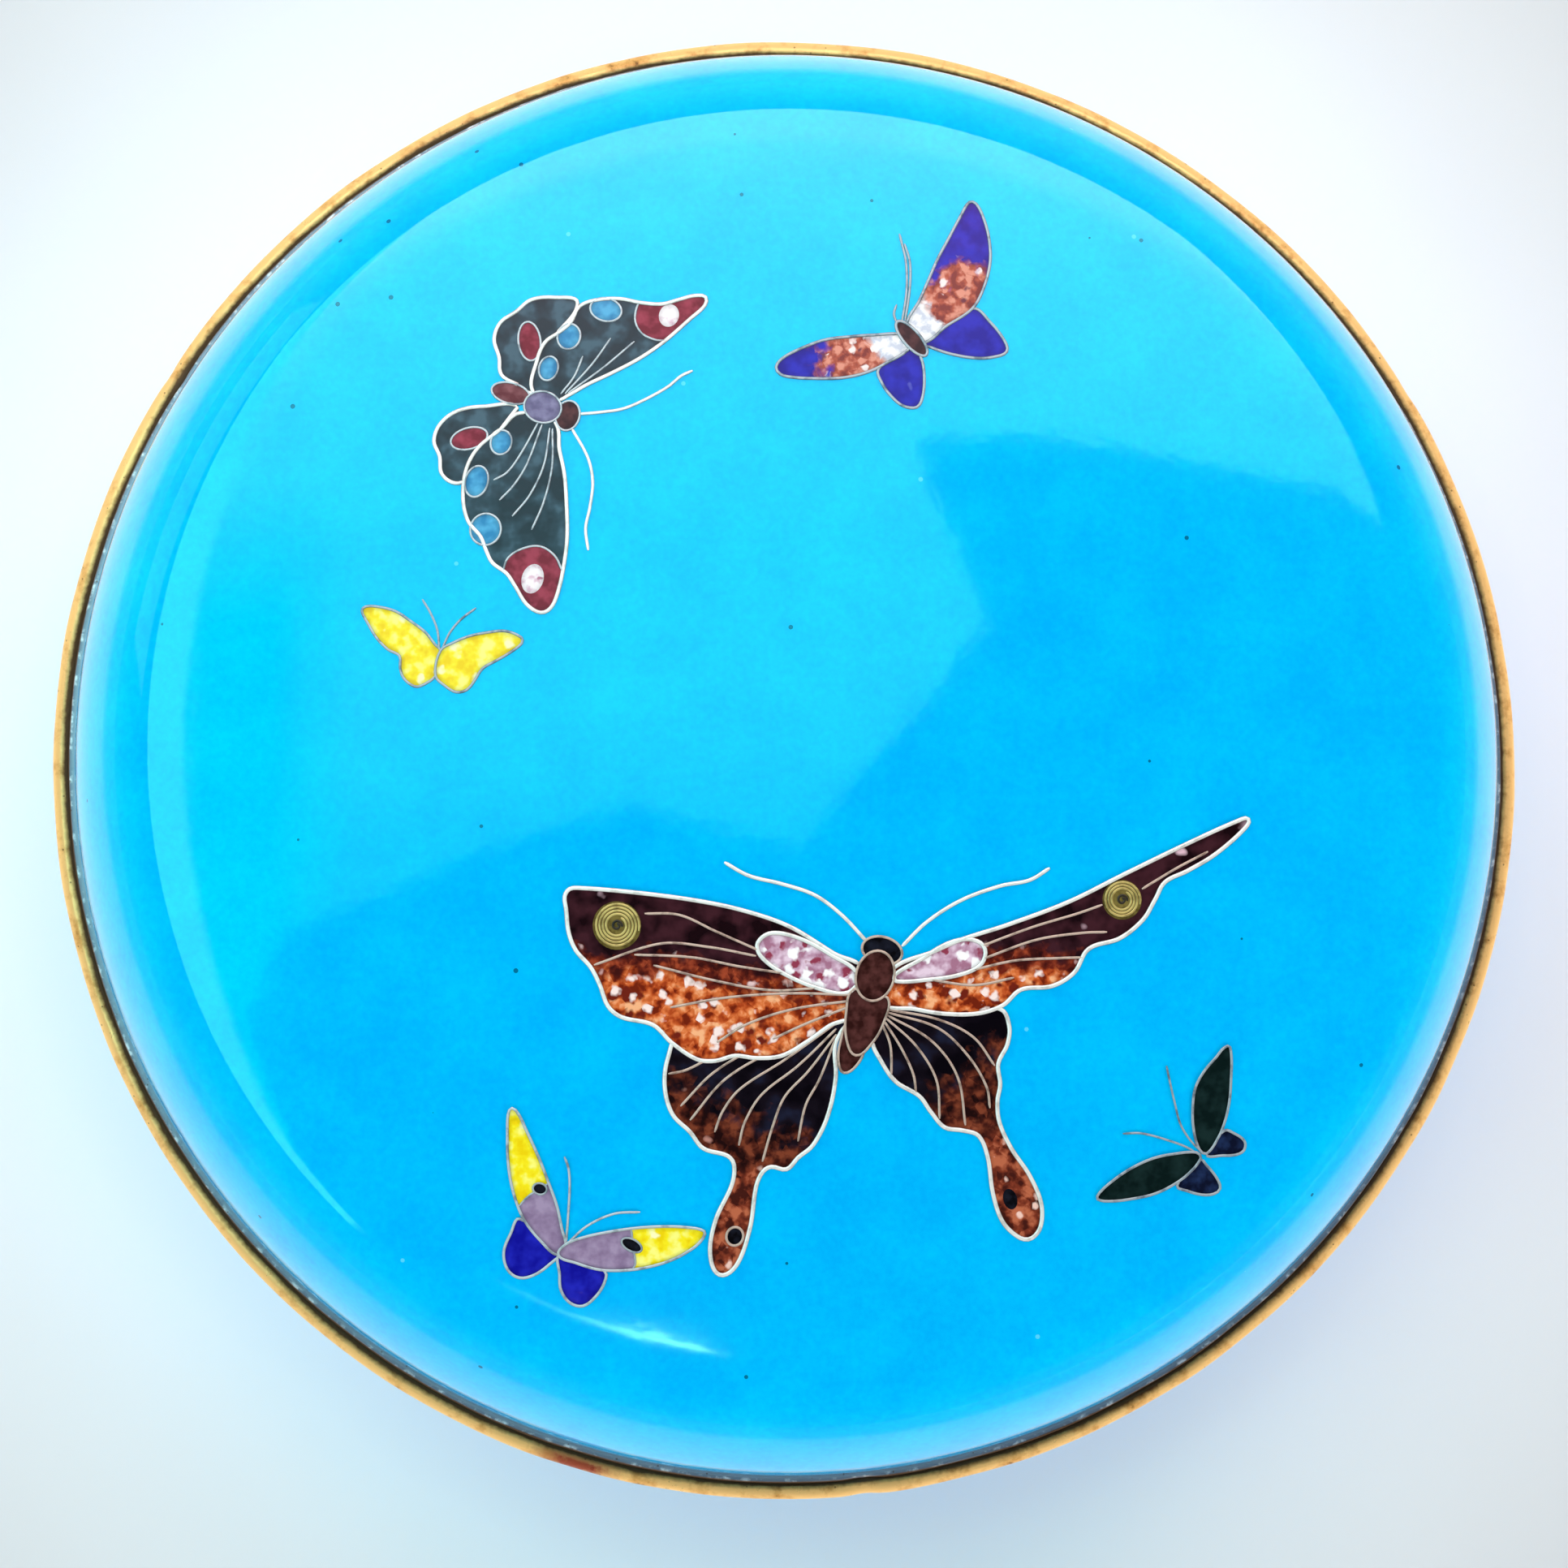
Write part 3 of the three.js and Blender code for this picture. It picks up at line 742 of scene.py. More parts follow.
swallowtail = {
    "at": (5.6, -17), "heading": -14, "outline": (0.31, "silver"), "vein": (0.19, "tan"),
    "feeler": (0.27, "silver"),
    "cells": [
        {"enamel": "nightfall", "points": [(-1.5, -2.6), (-7, -4.5), (-12.4, -7), (-12.9, -9.2),
            (-12.6, -11.2), (-11.6, -12.9), (-10.1, -13.8), (-8.9, -14.7), (-7.1, -14.8), (-6.5, -15.3),
            (-6.3, -16.7), (-6.8, -19.4), (-6.6, -21.8), (-5.6, -23.1), (-4.6, -22.2), (-4.3, -19.4),
            (-4.6, -16.4), (-4.4, -15.3), (-3.9, -14.8), (-2.8, -14.7), (-2.2, -13.7), (-1.4, -12.6),
            (-0.9, -10.4), (-1, -7.6), (-1.6, -5.4)],
         "borders": [[(0, -13.2), (-4.5, -12.4), (-9, -11.5), (-14, -10)], [(-2, -15), (-9, -15)]],
         "veins": [[(-2, -2.8), (-6, -5), (-9.6, -8), (-11.4, -9.6), (-12.6, -10.2)], [(-2, -3), (-6, -6),
            (-9.4, -9.2), (-11.2, -12.2)], [(-2, -3.4), (-5.6, -6.6), (-8.6, -9.6), (-10.3, -13)],
            [(-1.9, -3.8), (-4.8, -7.2), (-7.4, -10), (-8.2, -11.8), (-8.4, -13.4)], [(-1.8, -4.2),
            (-3.8, -7.4), (-5.8, -10), (-6.5, -12.2), (-6.5, -13.9)], [(-1.7, -4.6), (-3, -7.6),
            (-4.2, -9.8), (-4.5, -12), (-4.6, -14.6)], [(-1.7, -5), (-2.1, -8), (-2.6, -10), (-2.5, -12.6)]],
         "marks": [{"enamel": "ink", "oval": (-5.2, -20.2, 0.6, 0.66)}]},
        {"enamel": "nightfall", "points": [(1, -1.4), (6.2, -0.8), (9.2, 0), (10.1, -1), (10.3, -2.3),
            (10, -3.8), (10.5, -5.2), (10.6, -6.4), (11.1, -7.8), (12.4, -9.4), (14.1, -10.9), (15.4, -12.6),
            (15.8, -14.2), (15.4, -15.2), (14.6, -15.4), (13.1, -14.6), (11.9, -12.8), (10.9, -10.4),
            (9.9, -9.1), (8.7, -9), (7.4, -9.1), (6.2, -8.3), (5.1, -7.4), (3.2, -6.8), (1.8, -5.6),
            (0.9, -4.4)],
         "borders": [[(12.5, 0), (9.6, -2.6), (7.4, -5.5), (5, -8.6), (4, -10)], [(13, -6.8), (8, -9.6)]],
         "veins": [[(1.5, -2), (5, -1.8), (7.8, -2.4), (9.8, -4)], [(1.5, -2.2), (5.2, -2.4), (7.8, -3.8),
            (9.6, -5.6), (10.2, -7)], [(1.5, -2.4), (5, -3.4), (7.4, -5.4), (8.8, -8.6)], [(1.4, -2.6),
            (4, -4), (6, -6), (6.9, -8.6)], [(1.3, -2.8), (3, -4.4), (4.3, -6), (4.8, -7.2)], [(1.2, -3),
            (2.2, -4.4), (2.8, -6.4)]],
         "marks": [{"enamel": "ink", "edge": "none", "oval": (13.2, -12.9, 0.5, 0.75, 30)}]},
        {"enamel": "dusk", "points": [(-1, 0.3), (-3.2, 0.9), (-6.8, 2), (-10.1, 2.3), (-13.4, 2.2),
            (-17.9, 1.7), (-21.9, 1.05), (-22.6, 0.8), (-22.8, 0.2), (-22.5, -0.6), (-21.9, -2.2),
            (-21.1, -3.3), (-19.8, -4.2), (-18.9, -5.2), (-17.9, -6.6), (-16.8, -7.1), (-14.5, -7.1),
            (-12.9, -8), (-10.9, -8.7), (-9.6, -8.5), (-8.3, -7.8), (-6.8, -7.6), (-5.1, -7), (-3.6, -5.6),
            (-2.3, -4.1), (-1, -3)],
         "borders": [[(0, -1.6), (-5, -2), (-10, -2.5), (-14, -2.7), (-19, -3.6), (-23, -4.4)]],
         "veins": [[(-8.3, -0.2), (-11.8, 0.4), (-14.6, 0.9), (-17, 0.4)], [(-8.6, -0.6), (-12, -0.8),
            (-15.4, -1.4), (-19.6, -4)], [(-6.4, -1.3), (-9.5, -1.6), (-13, -1.8), (-17, -2.6)], [(-4, -1.8),
            (-7, -2.7), (-11, -3), (-15.5, -3)], [(-1.2, -1.6), (-5.7, -2.6), (-10, -4), (-13.6, -5.6)],
            [(-1.2, -2), (-5.1, -3.6), (-8, -5.4), (-9.8, -7.2)], [(-1.2, -2.4), (-4, -4.4), (-6, -6)]],
         "marks": [
            {"enamel": "petal", "edge": "outline", "points": [(-8.7, 0.35), (-7.9, 1.25), (-5.8, 1.35),
                (-3.4, 0.75), (-1.3, -0.1), (-1.6, -1.5), (-3.7, -1.75), (-6.5, -1.3), (-8.3, -0.5)]},
            {"enamel": "straw", "edge": "none", "oval": (-18.7, -0.9, 1.72, 1.72), "coil": 4.2}]},
        {"enamel": "dusk", "points": [(1, 0.8), (3.6, 2.8), (5.3, 4.1), (8.2, 5.9), (12.1, 8.6),
            (15.5, 11.5), (19.2, 14.6), (22.6, 17.3), (23.3, 17.6), (23.2, 16.9), (21.6, 14.6), (19.9, 12.9),
            (18.5, 11.7), (18.1, 10.3), (17.6, 8.7), (16.3, 7), (14.3, 5.7), (13.7, 3.8), (12.4, 2.5),
            (10.3, 1.7), (9.3, 0.3), (7.7, -0.7), (5.4, -1.3), (3.2, -1.5), (1, -1.6)],
         "borders": [[(17, 3.4), (13.4, 4.2), (10.6, 3.9), (7.4, 3.4), (4.5, 1.9), (0, 0.4)]],
         "veins": [[(6.8, 4), (10, 6.2), (13, 8), (14.5, 9)], [(7.2, 3.2), (10.5, 5.4), (13.6, 6.7),
            (15.3, 7.2)], [(6.6, 2.2), (9.4, 3.6), (12.6, 4.6), (14, 5)], [(4, 0.8), (7, 1.2), (9.6, 2.4)],
            [(17, 10.8), (19, 12.8), (21, 14.6)]],
         "marks": [
            {"enamel": "petal", "edge": "outline", "points": [(1.3, 0.5), (2.8, 2), (4.3, 3.5), (5.6, 4.2),
                (6.7, 4.2), (7.2, 3.6), (7, 2.6), (5.7, 1.6), (3.8, 0.8), (1.5, 0.1)]},
            {"enamel": "straw", "edge": "none", "oval": (15.8, 9.7, 1.42, 1.42), "coil": 3.2}]},
        {"enamel": "maroon", "edge": "vein", "points": [(-1, -3.6), (0.4, -5), (0.3, -6.2), (-0.5, -7.1),
            (-1.1, -6.4), (-1.3, -5)]},
        {"enamel": "maroon", "edge": "vein", "points": [(-1.3, -1.2), (0, -1.7), (1.2, -1.2), (1.35, -3),
            (0.9, -4.6), (0, -5.7), (-0.9, -4.8), (-1.4, -3)]},
        {"enamel": "ink", "edge": "vein", "oval": (0, 1.95, 1.45, 0.98)},
        {"enamel": "maroon", "edge": "vein", "oval": (-0.05, 0.1, 1.36, 1.8)},
    ],
    "feelers": [[(-1.2, 2.3), (-3.4, 3.7), (-5.6, 4.6), (-8, 4.8), (-10.5, 4.8), (-12.4, 5.3)], [(1.3, 2.6),
        (2.6, 4.7), (4.6, 6.8), (7.1, 8.5), (9, 9.4), (10.2, 10.6)]],
}

slate = {
    "at": (-18.2, 23.9), "heading": -105, "outline": (0.28, "silver"), "vein": (0.16, "ash"),
    "feeler": (0.22, "silver"),
    "cells": [
        {"enamel": "slate", "points": [(-1, -0.8), (-5, -0.6), (-8.1, 0.4), (-8.1, -1.3), (-7.5, -2.9),
            (-6.4, -3.7), (-5.3, -4.6), (-4, -4.7), (-2.8, -4), (-1.6, -3.5), (-1.2, -2.2)],
         "marks": [{"enamel": "crimson", "oval": (-4.5, -2.2, 1.45, 0.8, 22)}]},
        {"enamel": "slate", "points": [(0.6, -1.6), (3, -3), (6.3, -3.8), (6.9, -4.6), (6.5, -5.7),
            (5.3, -6.2), (4.3, -6.9), (3, -6.8), (1.8, -5.9), (1, -4.2)],
         "marks": [{"enamel": "crimson", "oval": (3.5, -4.5, 0.78, 1.35, 30)}]},
        {"enamel": "slateTipped", "points": [(-0.8, 0.9), (-1.4, 1.6), (-2.5, 2.7), (-3.7, 4.1), (-5.3, 5.8),
            (-7, 7.2), (-9, 8.5), (-10.3, 9.3), (-10.9, 9.2), (-10.8, 8.4), (-10.3, 7.5), (-9.6, 6.3),
            (-9.3, 4.8), (-9.2, 3.3), (-8.7, 1.7), (-7.9, 0.6), (-6.6, 0.3), (-5.7, -0.3), (-4.7, -1.1),
            (-3.3, -1.3), (-1, -1)],
         "borders": [[(-9.6, 4.6), (-8.9, 4.7), (-7.8, 4.8), (-7.1, 5.5), (-6.9, 6.6), (-7.2, 8.4)]],
         "veins": [[(-9.25, 4.65), (-8.6, 4.6), (-7.8, 4.8), (-7.1, 5.5), (-6.9, 6.6), (-7.05, 7.2)],
            [(-1.5, 1.5), (-3.9, 3.4), (-6.4, 5.1)], [(-1.4, 1.3), (-4, 2.6), (-6.2, 3.4)], [(-1.3, 1),
            (-2.8, 1.6), (-4.4, 1.8)]],
         "marks": [
            {"enamel": "pearl", "edge": "none", "oval": (-8.9, 7, 0.85, 0.72)},
            {"enamel": "scallop", "oval": (-8.15, 2.5, 0.85, 1.15)},
            {"enamel": "scallop", "oval": (-5.55, 0.45, 0.95, 0.82)},
            {"enamel": "scallop", "oval": (-2.9, -0.35, 0.9, 0.68)}]},
        {"enamel": "slateTipped", "points": [(0.8, 1.1), (2.7, 2), (4.3, 2.8), (6.3, 3.5), (8.7, 4.2),
            (10.7, 4.5), (12.7, 4.6), (13.9, 4.4), (14.4, 3.8), (14.1, 2.7), (13, 1.5), (12.3, 0.7),
            (11.8, -0.5), (11, -1.2), (10.2, -1.8), (9.3, -3), (7.7, -3.8), (5.7, -4.1), (4, -3.7),
            (2.3, -2.5), (0.8, -1.5)],
         "borders": [[(11.2, 6), (11.1, 4.4), (10.2, 3.7), (9.8, 2.5), (10.3, 1.3), (11.2, 0.5),
            (12.6, 0.3)]],
         "veins": [[(11.1, 4.5), (10.2, 3.7), (9.8, 2.5), (10.3, 1.3), (11.2, 0.5), (12.2, 0.4)],
            [(1.3, 1.1), (4, 1.8), (6.6, 1.9), (8.8, 1.6)], [(1.3, 0.9), (4, 1.2), (6.4, 0.8), (8.2, 0)],
            [(1.2, 0.3), (4.3, 0), (6, -0.5), (7.3, -1.2)], [(1.1, 0), (3.6, -0.6), (5.2, -1.2), (6, -2)]],
         "marks": [
            {"enamel": "pearl", "edge": "none", "oval": (12.2, 2.6, 1.08, 0.78)},
            {"enamel": "scallop", "oval": (9.6, -1.6, 1.15, 1.1)},
            {"enamel": "scallop", "oval": (6.4, -3.15, 1.15, 0.82)},
            {"enamel": "scallop", "oval": (3.2, -2.2, 0.9, 0.75)}]},
        {"enamel": "garnet", "edge": "vein", "oval": (-0.45, -2.5, 0.76, 1.4)},
        {"enamel": "maroon", "edge": "vein", "oval": (0.1, 1.9, 1.1, 0.85)},
        {"enamel": "lavender", "edge": "vein", "oval": (-0.05, 0, 1.15, 1.35)},
    ],
    "feelers": [[(-0.2, 2.6), (-0.7, 4), (-1.4, 5.6), (-2.5, 7), (-3.8, 8.3), (-4.8, 9), (-5.4, 9.7)],
        [(0.9, 2.4), (2.7, 4.1), (4.3, 4.9), (6.2, 5.2), (7.7, 5.3), (9.2, 5.9)]],
}

blue = {
    "at": (8.4, 29), "heading": 40, "outline": (0.22, "grey"), "vein": (0.15, "grey"),
    "feeler": (0.18, "grey"),
    "cells": [
        {"enamel": "ultramarine", "points": [(-0.4, -0.2), (-3.3, -0.1), (-3.8, -1.1), (-3.9, -2.3),
            (-3.7, -3.3), (-3, -4), (-2.2, -3.7), (-1.1, -2.6), (-0.4, -1.4)]},
        {"enamel": "ultramarine", "points": [(0.3, -0.5), (0.6, -1.2), (1.4, -2.5), (2.6, -3.9), (3.7, -4.7),
            (4.7, -5), (5.1, -4.3), (5.2, -2.6), (4.9, -1), (2.6, -0.7)]},
        {"enamel": "blueWing", "points": [(-0.3, 0.7), (-1.9, 2), (-3.3, 3), (-4.9, 4), (-6.6, 4.6),
            (-8.1, 4.9), (-8.9, 4.7), (-9, 4.1), (-8.4, 3.3), (-7.2, 2.2), (-5.8, 1.1), (-4.4, 0.35),
            (-3, -0.05), (-0.3, -0.3)],
         "borders": [[(-2.5, -2), (-2.5, 6)], [(-7.2, -1), (-6.8, 1.6), (-6, 3.1), (-4.8, 4.2),
            (-3.8, 5.4)]]},
        {"enamel": "blueWing", "points": [(0.3, 1), (2.3, 1.9), (3.7, 2.6), (5.3, 3.4), (7, 4.1), (8.7, 4.8),
            (9.9, 5.2), (10.2, 4.8), (9.9, 3.6), (9.2, 2.2), (8.1, 0.8), (6.4, -0.4), (4.8, -1), (2.6, -0.8),
            (0.3, -0.6)],
         "borders": [[(2.5, 4), (2.5, -3)], [(2.6, 3.4), (4.4, 2.6), (5.9, 2.2), (7, 1.2), (7.6, -2)]]},
        {"enamel": "maroon", "oval": (0, 0.1, 0.6, 1.6)},
    ],
    "feelers": [[(0.3, 1.5), (2, 3), (3.4, 4.7), (4.1, 6), (4.4, 6.6)], [(0.5, 1.4), (2.3, 3), (3.6, 4.5),
        (4.2, 5.8)], [(-0.1, 1.6), (0.2, 2.3), (0.8, 2.7)]],
}

yellow = {
    "at": (-25.5, 5.8), "heading": -11, "outline": (0.19, "grey"), "vein": (0.15, "grey"),
    "feeler": (0.16, "grey"),
    "cells": [
        {"enamel": "yellow", "points": [(0, 0.5), (-0.5, 0.9), (-1.3, 1.6), (-2.5, 2.2), (-3.7, 2.7),
            (-5, 2.8), (-5.9, 2.65), (-6.1, 2.3), (-5.5, 1.5), (-4.7, 0.6), (-3.7, -0.1), (-2.8, -0.4),
            (-2.6, -1.2), (-2.2, -1.9), (-1.3, -2.35), (-0.7, -2.1), (0, -1.3)]},
        {"enamel": "yellow", "points": [(0, -1.3), (0.8, -1.9), (1.7, -2.2), (2.4, -1.9), (2.8, -1.2),
            (3.2, -0.2), (4, 0.5), (4.8, 1.2), (5.6, 2.1), (5.5, 2.5), (4.3, 2.75), (3, 2.4), (1.8, 1.9),
            (0.8, 1.25), (0, 0.5)]},
    ],
    "feelers": [[(-0.1, 0.6), (-0.5, 1.9), (-1.2, 3), (-2, 3.9)], [(0.1, 0.7), (0.4, 1.9), (1, 3),
        (1.9, 4)]],
}

lilac = {
    "at": (-16.8, -36.6), "heading": -32.5, "outline": (0.21, "ash"), "vein": (0.15, "grey"),
    "feeler": (0.17, "ash"),
    "cells": [
        {"enamel": "ultramarine", "points": [(-0.1, 0), (-3.7, 0.6), (-3.7, -0.6), (-3.4, -2), (-2.5, -2.9),
            (-1.5, -2.95), (-0.7, -2.2), (-0.2, -1)]},
        {"enamel": "ultramarine", "points": [(0.1, 0), (0.8, -1.2), (1.5, -2.1), (2.5, -2.5), (3.4, -2.2),
            (3.8, -1.2), (3.8, 0), (3.4, 0.7)]},
        {"enamel": "lilacWing", "points": [(0, 0.8), (-0.8, 1.6), (-2, 2.8), (-3.3, 3.8), (-4.8, 4.9),
            (-6.5, 6), (-7.8, 6.8), (-8.4, 6.9), (-8.4, 6.4), (-7.7, 5.2), (-6.7, 3.7), (-5.5, 2.3),
            (-4.2, 1.2), (-3.2, 0.6), (-1.7, 0.1), (0, -0.1)],
         "borders": [[(-4.5, -0.5), (-4.25, 1.2), (-4.05, 2.3), (-3.3, 3.8), (-2.4, 5)]],
         "veins": [[(-4.25, 1.25), (-4.05, 2.3), (-3.35, 3.8)]],
         "marks": [{"enamel": "ink", "oval": (-3.65, 3.15, 0.5, 0.4, 20)}]},
        {"enamel": "lilacWing", "points": [(0, 0.8), (0.8, 1.9), (2, 3.1), (3.5, 4.4), (5, 5.5), (6.5, 6.4),
            (7.8, 6.9), (8, 6.5), (7.8, 5.5), (7, 4), (5.8, 2.6), (4.5, 1.5), (3, 0.6), (1.3, 0.1),
            (0, -0.1)],
         "borders": [[(2.4, 5.4), (3.3, 4.2), (4.3, 3.1), (4.95, 2.3), (5, 1.5), (5, 0)]],
         "veins": [[(3.35, 4.25), (4.3, 3.1), (4.95, 2.3), (4.95, 1.9)]],
         "marks": [{"enamel": "ink", "oval": (4, 3.3, 0.78, 0.42, 5)}]},
    ],
    "feelers": [[(0, 0.9), (-1, 2.75), (-2, 4.5), (-2.75, 5.5), (-3.4, 6)], [(0.1, 1), (0.6, 2.75),
        (1.75, 4.5), (3.25, 5.6)]],
}

green = {
    "at": (29, -29.5), "heading": 49, "outline": (0.2, "grey"), "vein": (0.15, "grey"),
    "feeler": (0.15, "grey"),
    "cells": [
        {"enamel": "navy", "points": [(-0.3, -0.2), (-2.8, -0.2), (-2.6, -1), (-2.1, -2), (-1.5, -2.6),
            (-0.9, -2.7), (-0.5, -2), (-0.3, -0.8)]},
        {"enamel": "navy", "points": [(0.3, -0.3), (1, -1.3), (1.7, -2), (2.3, -2.2), (2.8, -1.8),
            (2.7, -0.8), (2.4, -0.2)]},
        {"enamel": "bottle", "points": [(-0.1, 0.3), (-1.3, 1.5), (-2.5, 2.4), (-4, 3.1), (-5.4, 3.5),
            (-6.9, 3.7), (-7.3, 3.5), (-6.7, 2.6), (-5.6, 1.6), (-4.4, 0.7), (-3.1, 0.1), (-1.7, -0.25),
            (-0.2, -0.2)]},
        {"enamel": "bottle", "points": [(0.2, 0.3), (1, 1.55), (2.1, 2.6), (3.3, 3.4), (4.6, 3.7),
            (5.8, 3.7), (7.1, 3.6), (6.8, 3), (5.4, 1.8), (4.2, 0.9), (2.9, 0.2), (1.7, -0.2), (0.3, -0.3)]},
    ],
    "feelers": [[(-0.3, -0.3), (-0.2, 0.7), (-0.8, 2.4), (-1.7, 4.2), (-2.6, 5.2)], [(0.3, -0.4), (0.2, 0.8),
        (0.6, 2.4), (1.5, 3.8), (2.5, 5.2), (3.1, 6)]],
}
butterflies = {"swallowtail": swallowtail, "slate": slate, "blue": blue, "yellow": yellow, "lilac": lilac,
               "green": green}
relief = {"cell": 0.02, "level": 0.006, "mark": 0.002, "wire": 0.01}  # how the cells lie over one another


def settle(mesh, butterfly):  # turns a flat butterfly into its place on the domed lid
    turn = Matrix.Rotation(math.radians(butterfly["heading"]), 4, "Z")
    bmesh.ops.transform(mesh, matrix=Matrix.Translation((*butterfly["at"], 0)) @ turn, verts=mesh.verts)
    for vert in mesh.verts:
        vert.co.z += lidHeight(math.hypot(vert.co.x, vert.co.y))


def indexIn(names, name):
    if name not in names:
        names.append(name)
    return names.index(name)


def layWire(mesh, kinds, gauge, line, closed, lift, outlines):  # the stretches of a wire left in sight
    width, kind = gauge
    for run, ring in clearRuns(line, closed, outlines):
        addWire(mesh, run, width, lift + relief["wire"], ring, indexIn(kinds, kind))


def buildButterfly(name, butterfly):
    glass = bmesh.new()
    for layer in ("inward", "borderA", "borderB"):
        glass.verts.layers.float.new(layer)
    metal = bmesh.new()
    metal.verts.layers.float.new("crown")
    enamels = []
    kinds = []
    gauges = {edge: butterfly[edge] for edge in ("outline", "vein", "feeler")}
    outlines = [cellLine(cell) for cell in butterfly["cells"]]
    for level, (cell, outline) in enumerate(zip(butterfly["cells"], outlines)):
        above = outlines[level + 1:]
        lift = relief["cell"] + level * relief["level"]
        addCell(glass, outline, lift, indexIn(enamels, cell["enamel"]),
                [smoothLine(border) for border in cell.get("borders", [])])
        marks = cell.get("marks", [])
        rings = [cellLine(mark) for mark in marks]
        for order, (mark, ring) in enumerate(zip(marks, rings)):
            addCell(glass, ring, lift + relief["mark"] * (order + 1), indexIn(enamels, mark["enamel"]))
            edge = mark.get("edge", "vein")
            if edge != "none":
                layWire(metal, kinds, gauges[edge], ring, True, lift, above + rings[order + 1:])
            if "coil" in mark:
                x, y, half, _ = mark["oval"]
                for kind, width, outer, inner, turns in (
                        ("brass", 0.2, half * 0.93, 0.62, mark["coil"]), ("dark", 0.18, 0.38, 0.12, 1.3)):
                    line = coilLine(x, y, outer, inner, turns)
                    addWire(metal, line, width, lift, False, indexIn(kinds, kind))
        for vein in cell.get("veins", []):
            layWire(metal, kinds, gauges["vein"], smoothLine(vein), False, lift, above + rings)
        layWire(metal, kinds, gauges[cell.get("edge", "outline")], outline, True, lift, above)
    for feeler in butterfly["feelers"]:
        layWire(metal, kinds, gauges["feeler"], smoothLine(feeler), False, relief["cell"], outlines)
    for mesh in (glass, metal):
        bmesh.ops.recalc_face_normals(mesh, faces=mesh.faces)
        settle(mesh, butterfly)
    glassFinishes = [enamelFinishes[enamel] for enamel in enamels]
    finishPiece(glass, name + "Enamel", glassFinishes, "inlay_" + name, ["butterfly_" + name], 50)
    finishPiece(metal, name + "Wires", [wireFinishes[kind] for kind in kinds], "silver_wire", [], 60)


# Floor, light and camera

studio = {
    "floor": "f6f5f7", "floorShade": "92949a", "floorNear": 62, "floorReach": 75, "floorHalf": 2500,
    "horizon": 0.14, "zenith": 0.03, "back": 0.4, "sheetHeight": 645,
    "panelTint": (1.0, 0.92, 0.88), "cornerFills": [8.5, 7.5, 9, 12],
    "card": [(350, 205), (234, 218), (141, 226), (87, 219), (95, 187), (109, 151), (122, 116), (93, 80),
             (63, 46), (22, -3), (-64, 20), (-158, -9), (-254, -48), (-290, -120), (-330, -330), (-420, -420),
             (-490, -200), (-500, 200), (-480, 480), (-300, 580), (420, 580), (420, 215)],
    "glint": [(-142, -244), (-106, -260), (-62, -266), (-35, -272), (-18, -287), (-56, -281), (-101, -267),
              (-128, -255)],
    "cardStops": [(0, "467f7f"), (0.07, "5b8f8f"), (0.14, "659e9e"), (0.28, "6ea3a3"),
                  (0.43, "91abab"), (0.57, "aeb6b6"), (0.66, "cbbcbc"), (0.76, "fdcbcb")],
    "cardReach": 580, "cardPower": 6.4, "glintPower": 14,
    "coolSide": "009494", "coolFrom": (-212, 205), "coolFade": (50, 80),
    "farSide": "8bc1c1", "farFrom": -312, "farFade": 18, "glintFrom": -110, "glintFade": 60,
}


def buildFloor():
    mesh = bmesh.new()
    bmesh.ops.create_grid(mesh, x_segments=8, y_segments=8, size=studio["floorHalf"])
    finish = Finish("paleFloor", {"Roughness": 0.8, "Specular IOR Level": 0.2})
    # painted shade: the floor is near white by the box and fades to grey further out
    far = (finish.radius() - studio["floorNear"]) / studio["floorReach"] + (finish.cloud(60, 3) - 0.5) * 0.15
    finish.feed(colour=finish.ramp(far, [(0, studio["floor"]), (1, studio["floorShade"])]))
    floor = addMesh("floor", mesh, [finish.material])


def addSheet(name, outline, finish):  # a soft light overhead, cut to the shape that the lid mirrors
    mesh = bmesh.new()
    ring = [mesh.verts.new((x, y, studio["sheetHeight"])) for x, y in outline]
    edges = [mesh.edges.new((ring[index - 1], ring[index])) for index in range(len(ring))]
    bmesh.ops.contextual_create(mesh, geom=edges)
    sheet = addMesh(name, mesh, [finish.material])
    sheet.visible_camera = False


def makeGlow(name, power):
    return Finish(name, {"Emission Strength": power, "Base Color": (0, 0, 0, 1), "Specular IOR Level": 0})


def buildCard():  # brighter towards the back, cooler on the left and bright again beyond
    finish = makeGlow("softLight", studio["cardPower"])
    x, y = finish.along("X"), finish.along("Y")
    glow = finish.ramp(y / studio["cardReach"], studio["cardStops"])
    left = ((studio["coolFrom"][0] - x) / studio["coolFade"][0]).clamped()
    front = ((studio["coolFrom"][1] - y) / studio["coolFade"][1]).clamped()
    glow = finish.mix(left * front, glow, studio["coolSide"])
    glow = finish.mix(((studio["farFrom"] - x) / studio["farFade"]).clamped(), glow, studio["farSide"])
    finish.feed(glow=glow)
    addSheet("softCard", studio["card"], finish)


def buildGlint():
    finish = makeGlow("lampLight", studio["glintPower"])
    across = (finish.along("X") - studio["glintFrom"]) / studio["glintFade"]
    finish.feed(glow=finish.ramp(across, [(0, "848484"), (1, "fffaf0")]))
    addSheet("lampGlint", studio["glint"], finish)


def addPanel(name, tilt, turn, distance, size, strength, mirrored):  # a soft panel aimed at the box
    light = bpy.data.lights.new(name, "AREA")
    light.shape = "RECTANGLE"
    light.size, light.size_y = size[0] * millimetre, size[1] * millimetre
    light.energy = strength * light.size * light.size_y * math.pi
    light.color = studio["panelTint"]
    panel = addObject(name, light)
    aim = Euler((0, math.radians(tilt), math.radians(turn))).to_matrix() @ Vector((0, 0, 1))
    panel.location = Vector((0, 0, lidTop * millimetre)) + aim * distance * millimetre
    panel.rotation_euler = aim.to_track_quat("Z", "Y").to_euler()
    panel.visible_camera = False
    panel.visible_glossy = mirrored


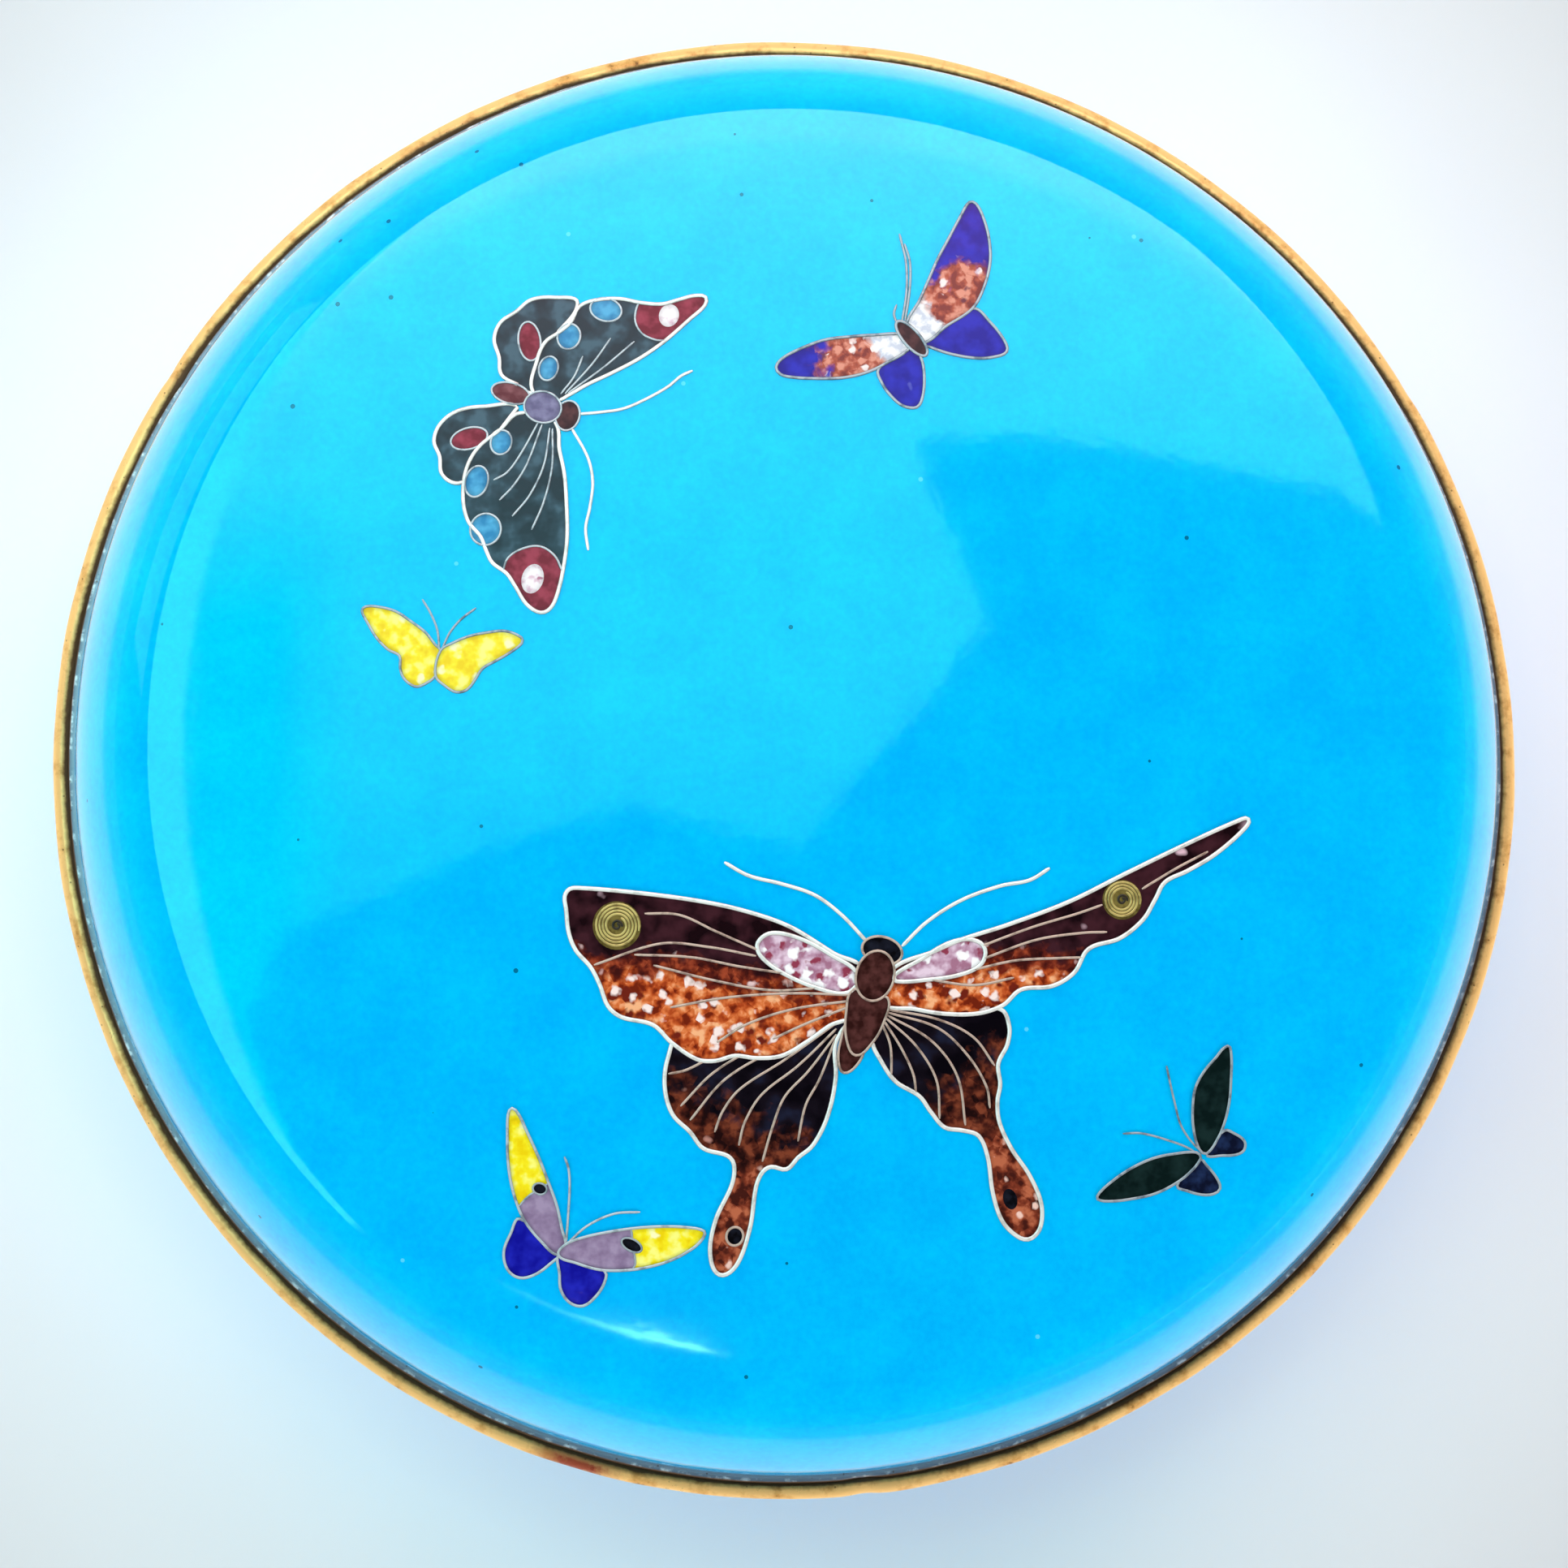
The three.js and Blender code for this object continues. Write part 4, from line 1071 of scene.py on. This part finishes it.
def buildWorld():  # a dim room, brighter along the horizon and towards the back
    world = bpy.data.worlds.new("studioAir")
    bpy.context.scene.world = world
    world.use_nodes = True
    shader = Shader(world.node_tree)
    direction = shader.node("ShaderNodeTexCoord", output="Generated")
    y, z = (shader.node("ShaderNodeSeparateXYZ", None, {0: direction}, axis) for axis in "YZ")
    back = y.clamped()
    low = 1 - z.clamped()
    strength = back * back * studio["back"] + low * low * low * studio["horizon"] + studio["zenith"]
    background = world.node_tree.nodes["Background"]
    background.inputs["Color"].default_value = (0.97, 0.98, 1.0, 1.0)
    world.node_tree.links.new(strength.socket, background.inputs["Strength"])


view = {"turn": -22, "tilt": 85, "distance": 380, "span": 117.811, "aim": (-0.248, -1.639, 25.2)}


def buildCamera():
    turn, tilt = math.radians(view["turn"]), math.radians(view["tilt"])
    away = Vector((math.sin(turn) * math.cos(tilt), -math.cos(turn) * math.cos(tilt), math.sin(tilt)))
    across = Vector((0, 1, 0)).cross(away).normalized()
    upward = away.cross(across)
    data = bpy.data.cameras.new("camera")
    data.sensor_width = 36
    data.lens = data.sensor_width * view["distance"] / view["span"]
    data.clip_start = 0.01
    camera = addObject("camera", data)
    spot = Matrix.Translation((Vector(view["aim"]) + away * view["distance"]) * millimetre)
    camera.matrix_world = spot @ Matrix((across, upward, away)).transposed().to_4x4()
    bpy.context.scene.camera = camera


turquoise = makeTurquoise()
counterEnamel = makeCounterEnamel()
copper = makeCopper()
lidGilt = makeGilt("lidGilt", lidWearAndShade, lidRedSpot)
bowlGilt = makeGilt("bowlGilt")
footGilt = makeGilt("footGilt")
enamelFinishes = {name: makeEnamel(name) for name in [*fills, *blends]}
wireFinishes = {name: makeWire(name) for name in wires}
print("materials made")

buildCamera()
buildWorld()
buildFloor()
buildCard()
buildGlint()
addPanel("sideGlow", 62, 150, 900, (500, 400), 0.8, True)
for corner, strength in enumerate(studio["cornerFills"]):
    addPanel("cornerFill" + str(corner), 81, 45 + corner * 90, 1000, (1000, 280), strength, False)
print("studio made")

buildShell("lidShell", lidSurface, lid, lowest("lid").z, "lid")
buildShell("bowlShell", bowlSurface, bowl, highest("base").z, "base")
buildLidBand()
buildBowlBand()
buildFootRing()
for butterflyName, butterfly in butterflies.items():
    buildButterfly(butterflyName, butterfly)

bpy.context.scene.view_settings.view_transform = "Standard"
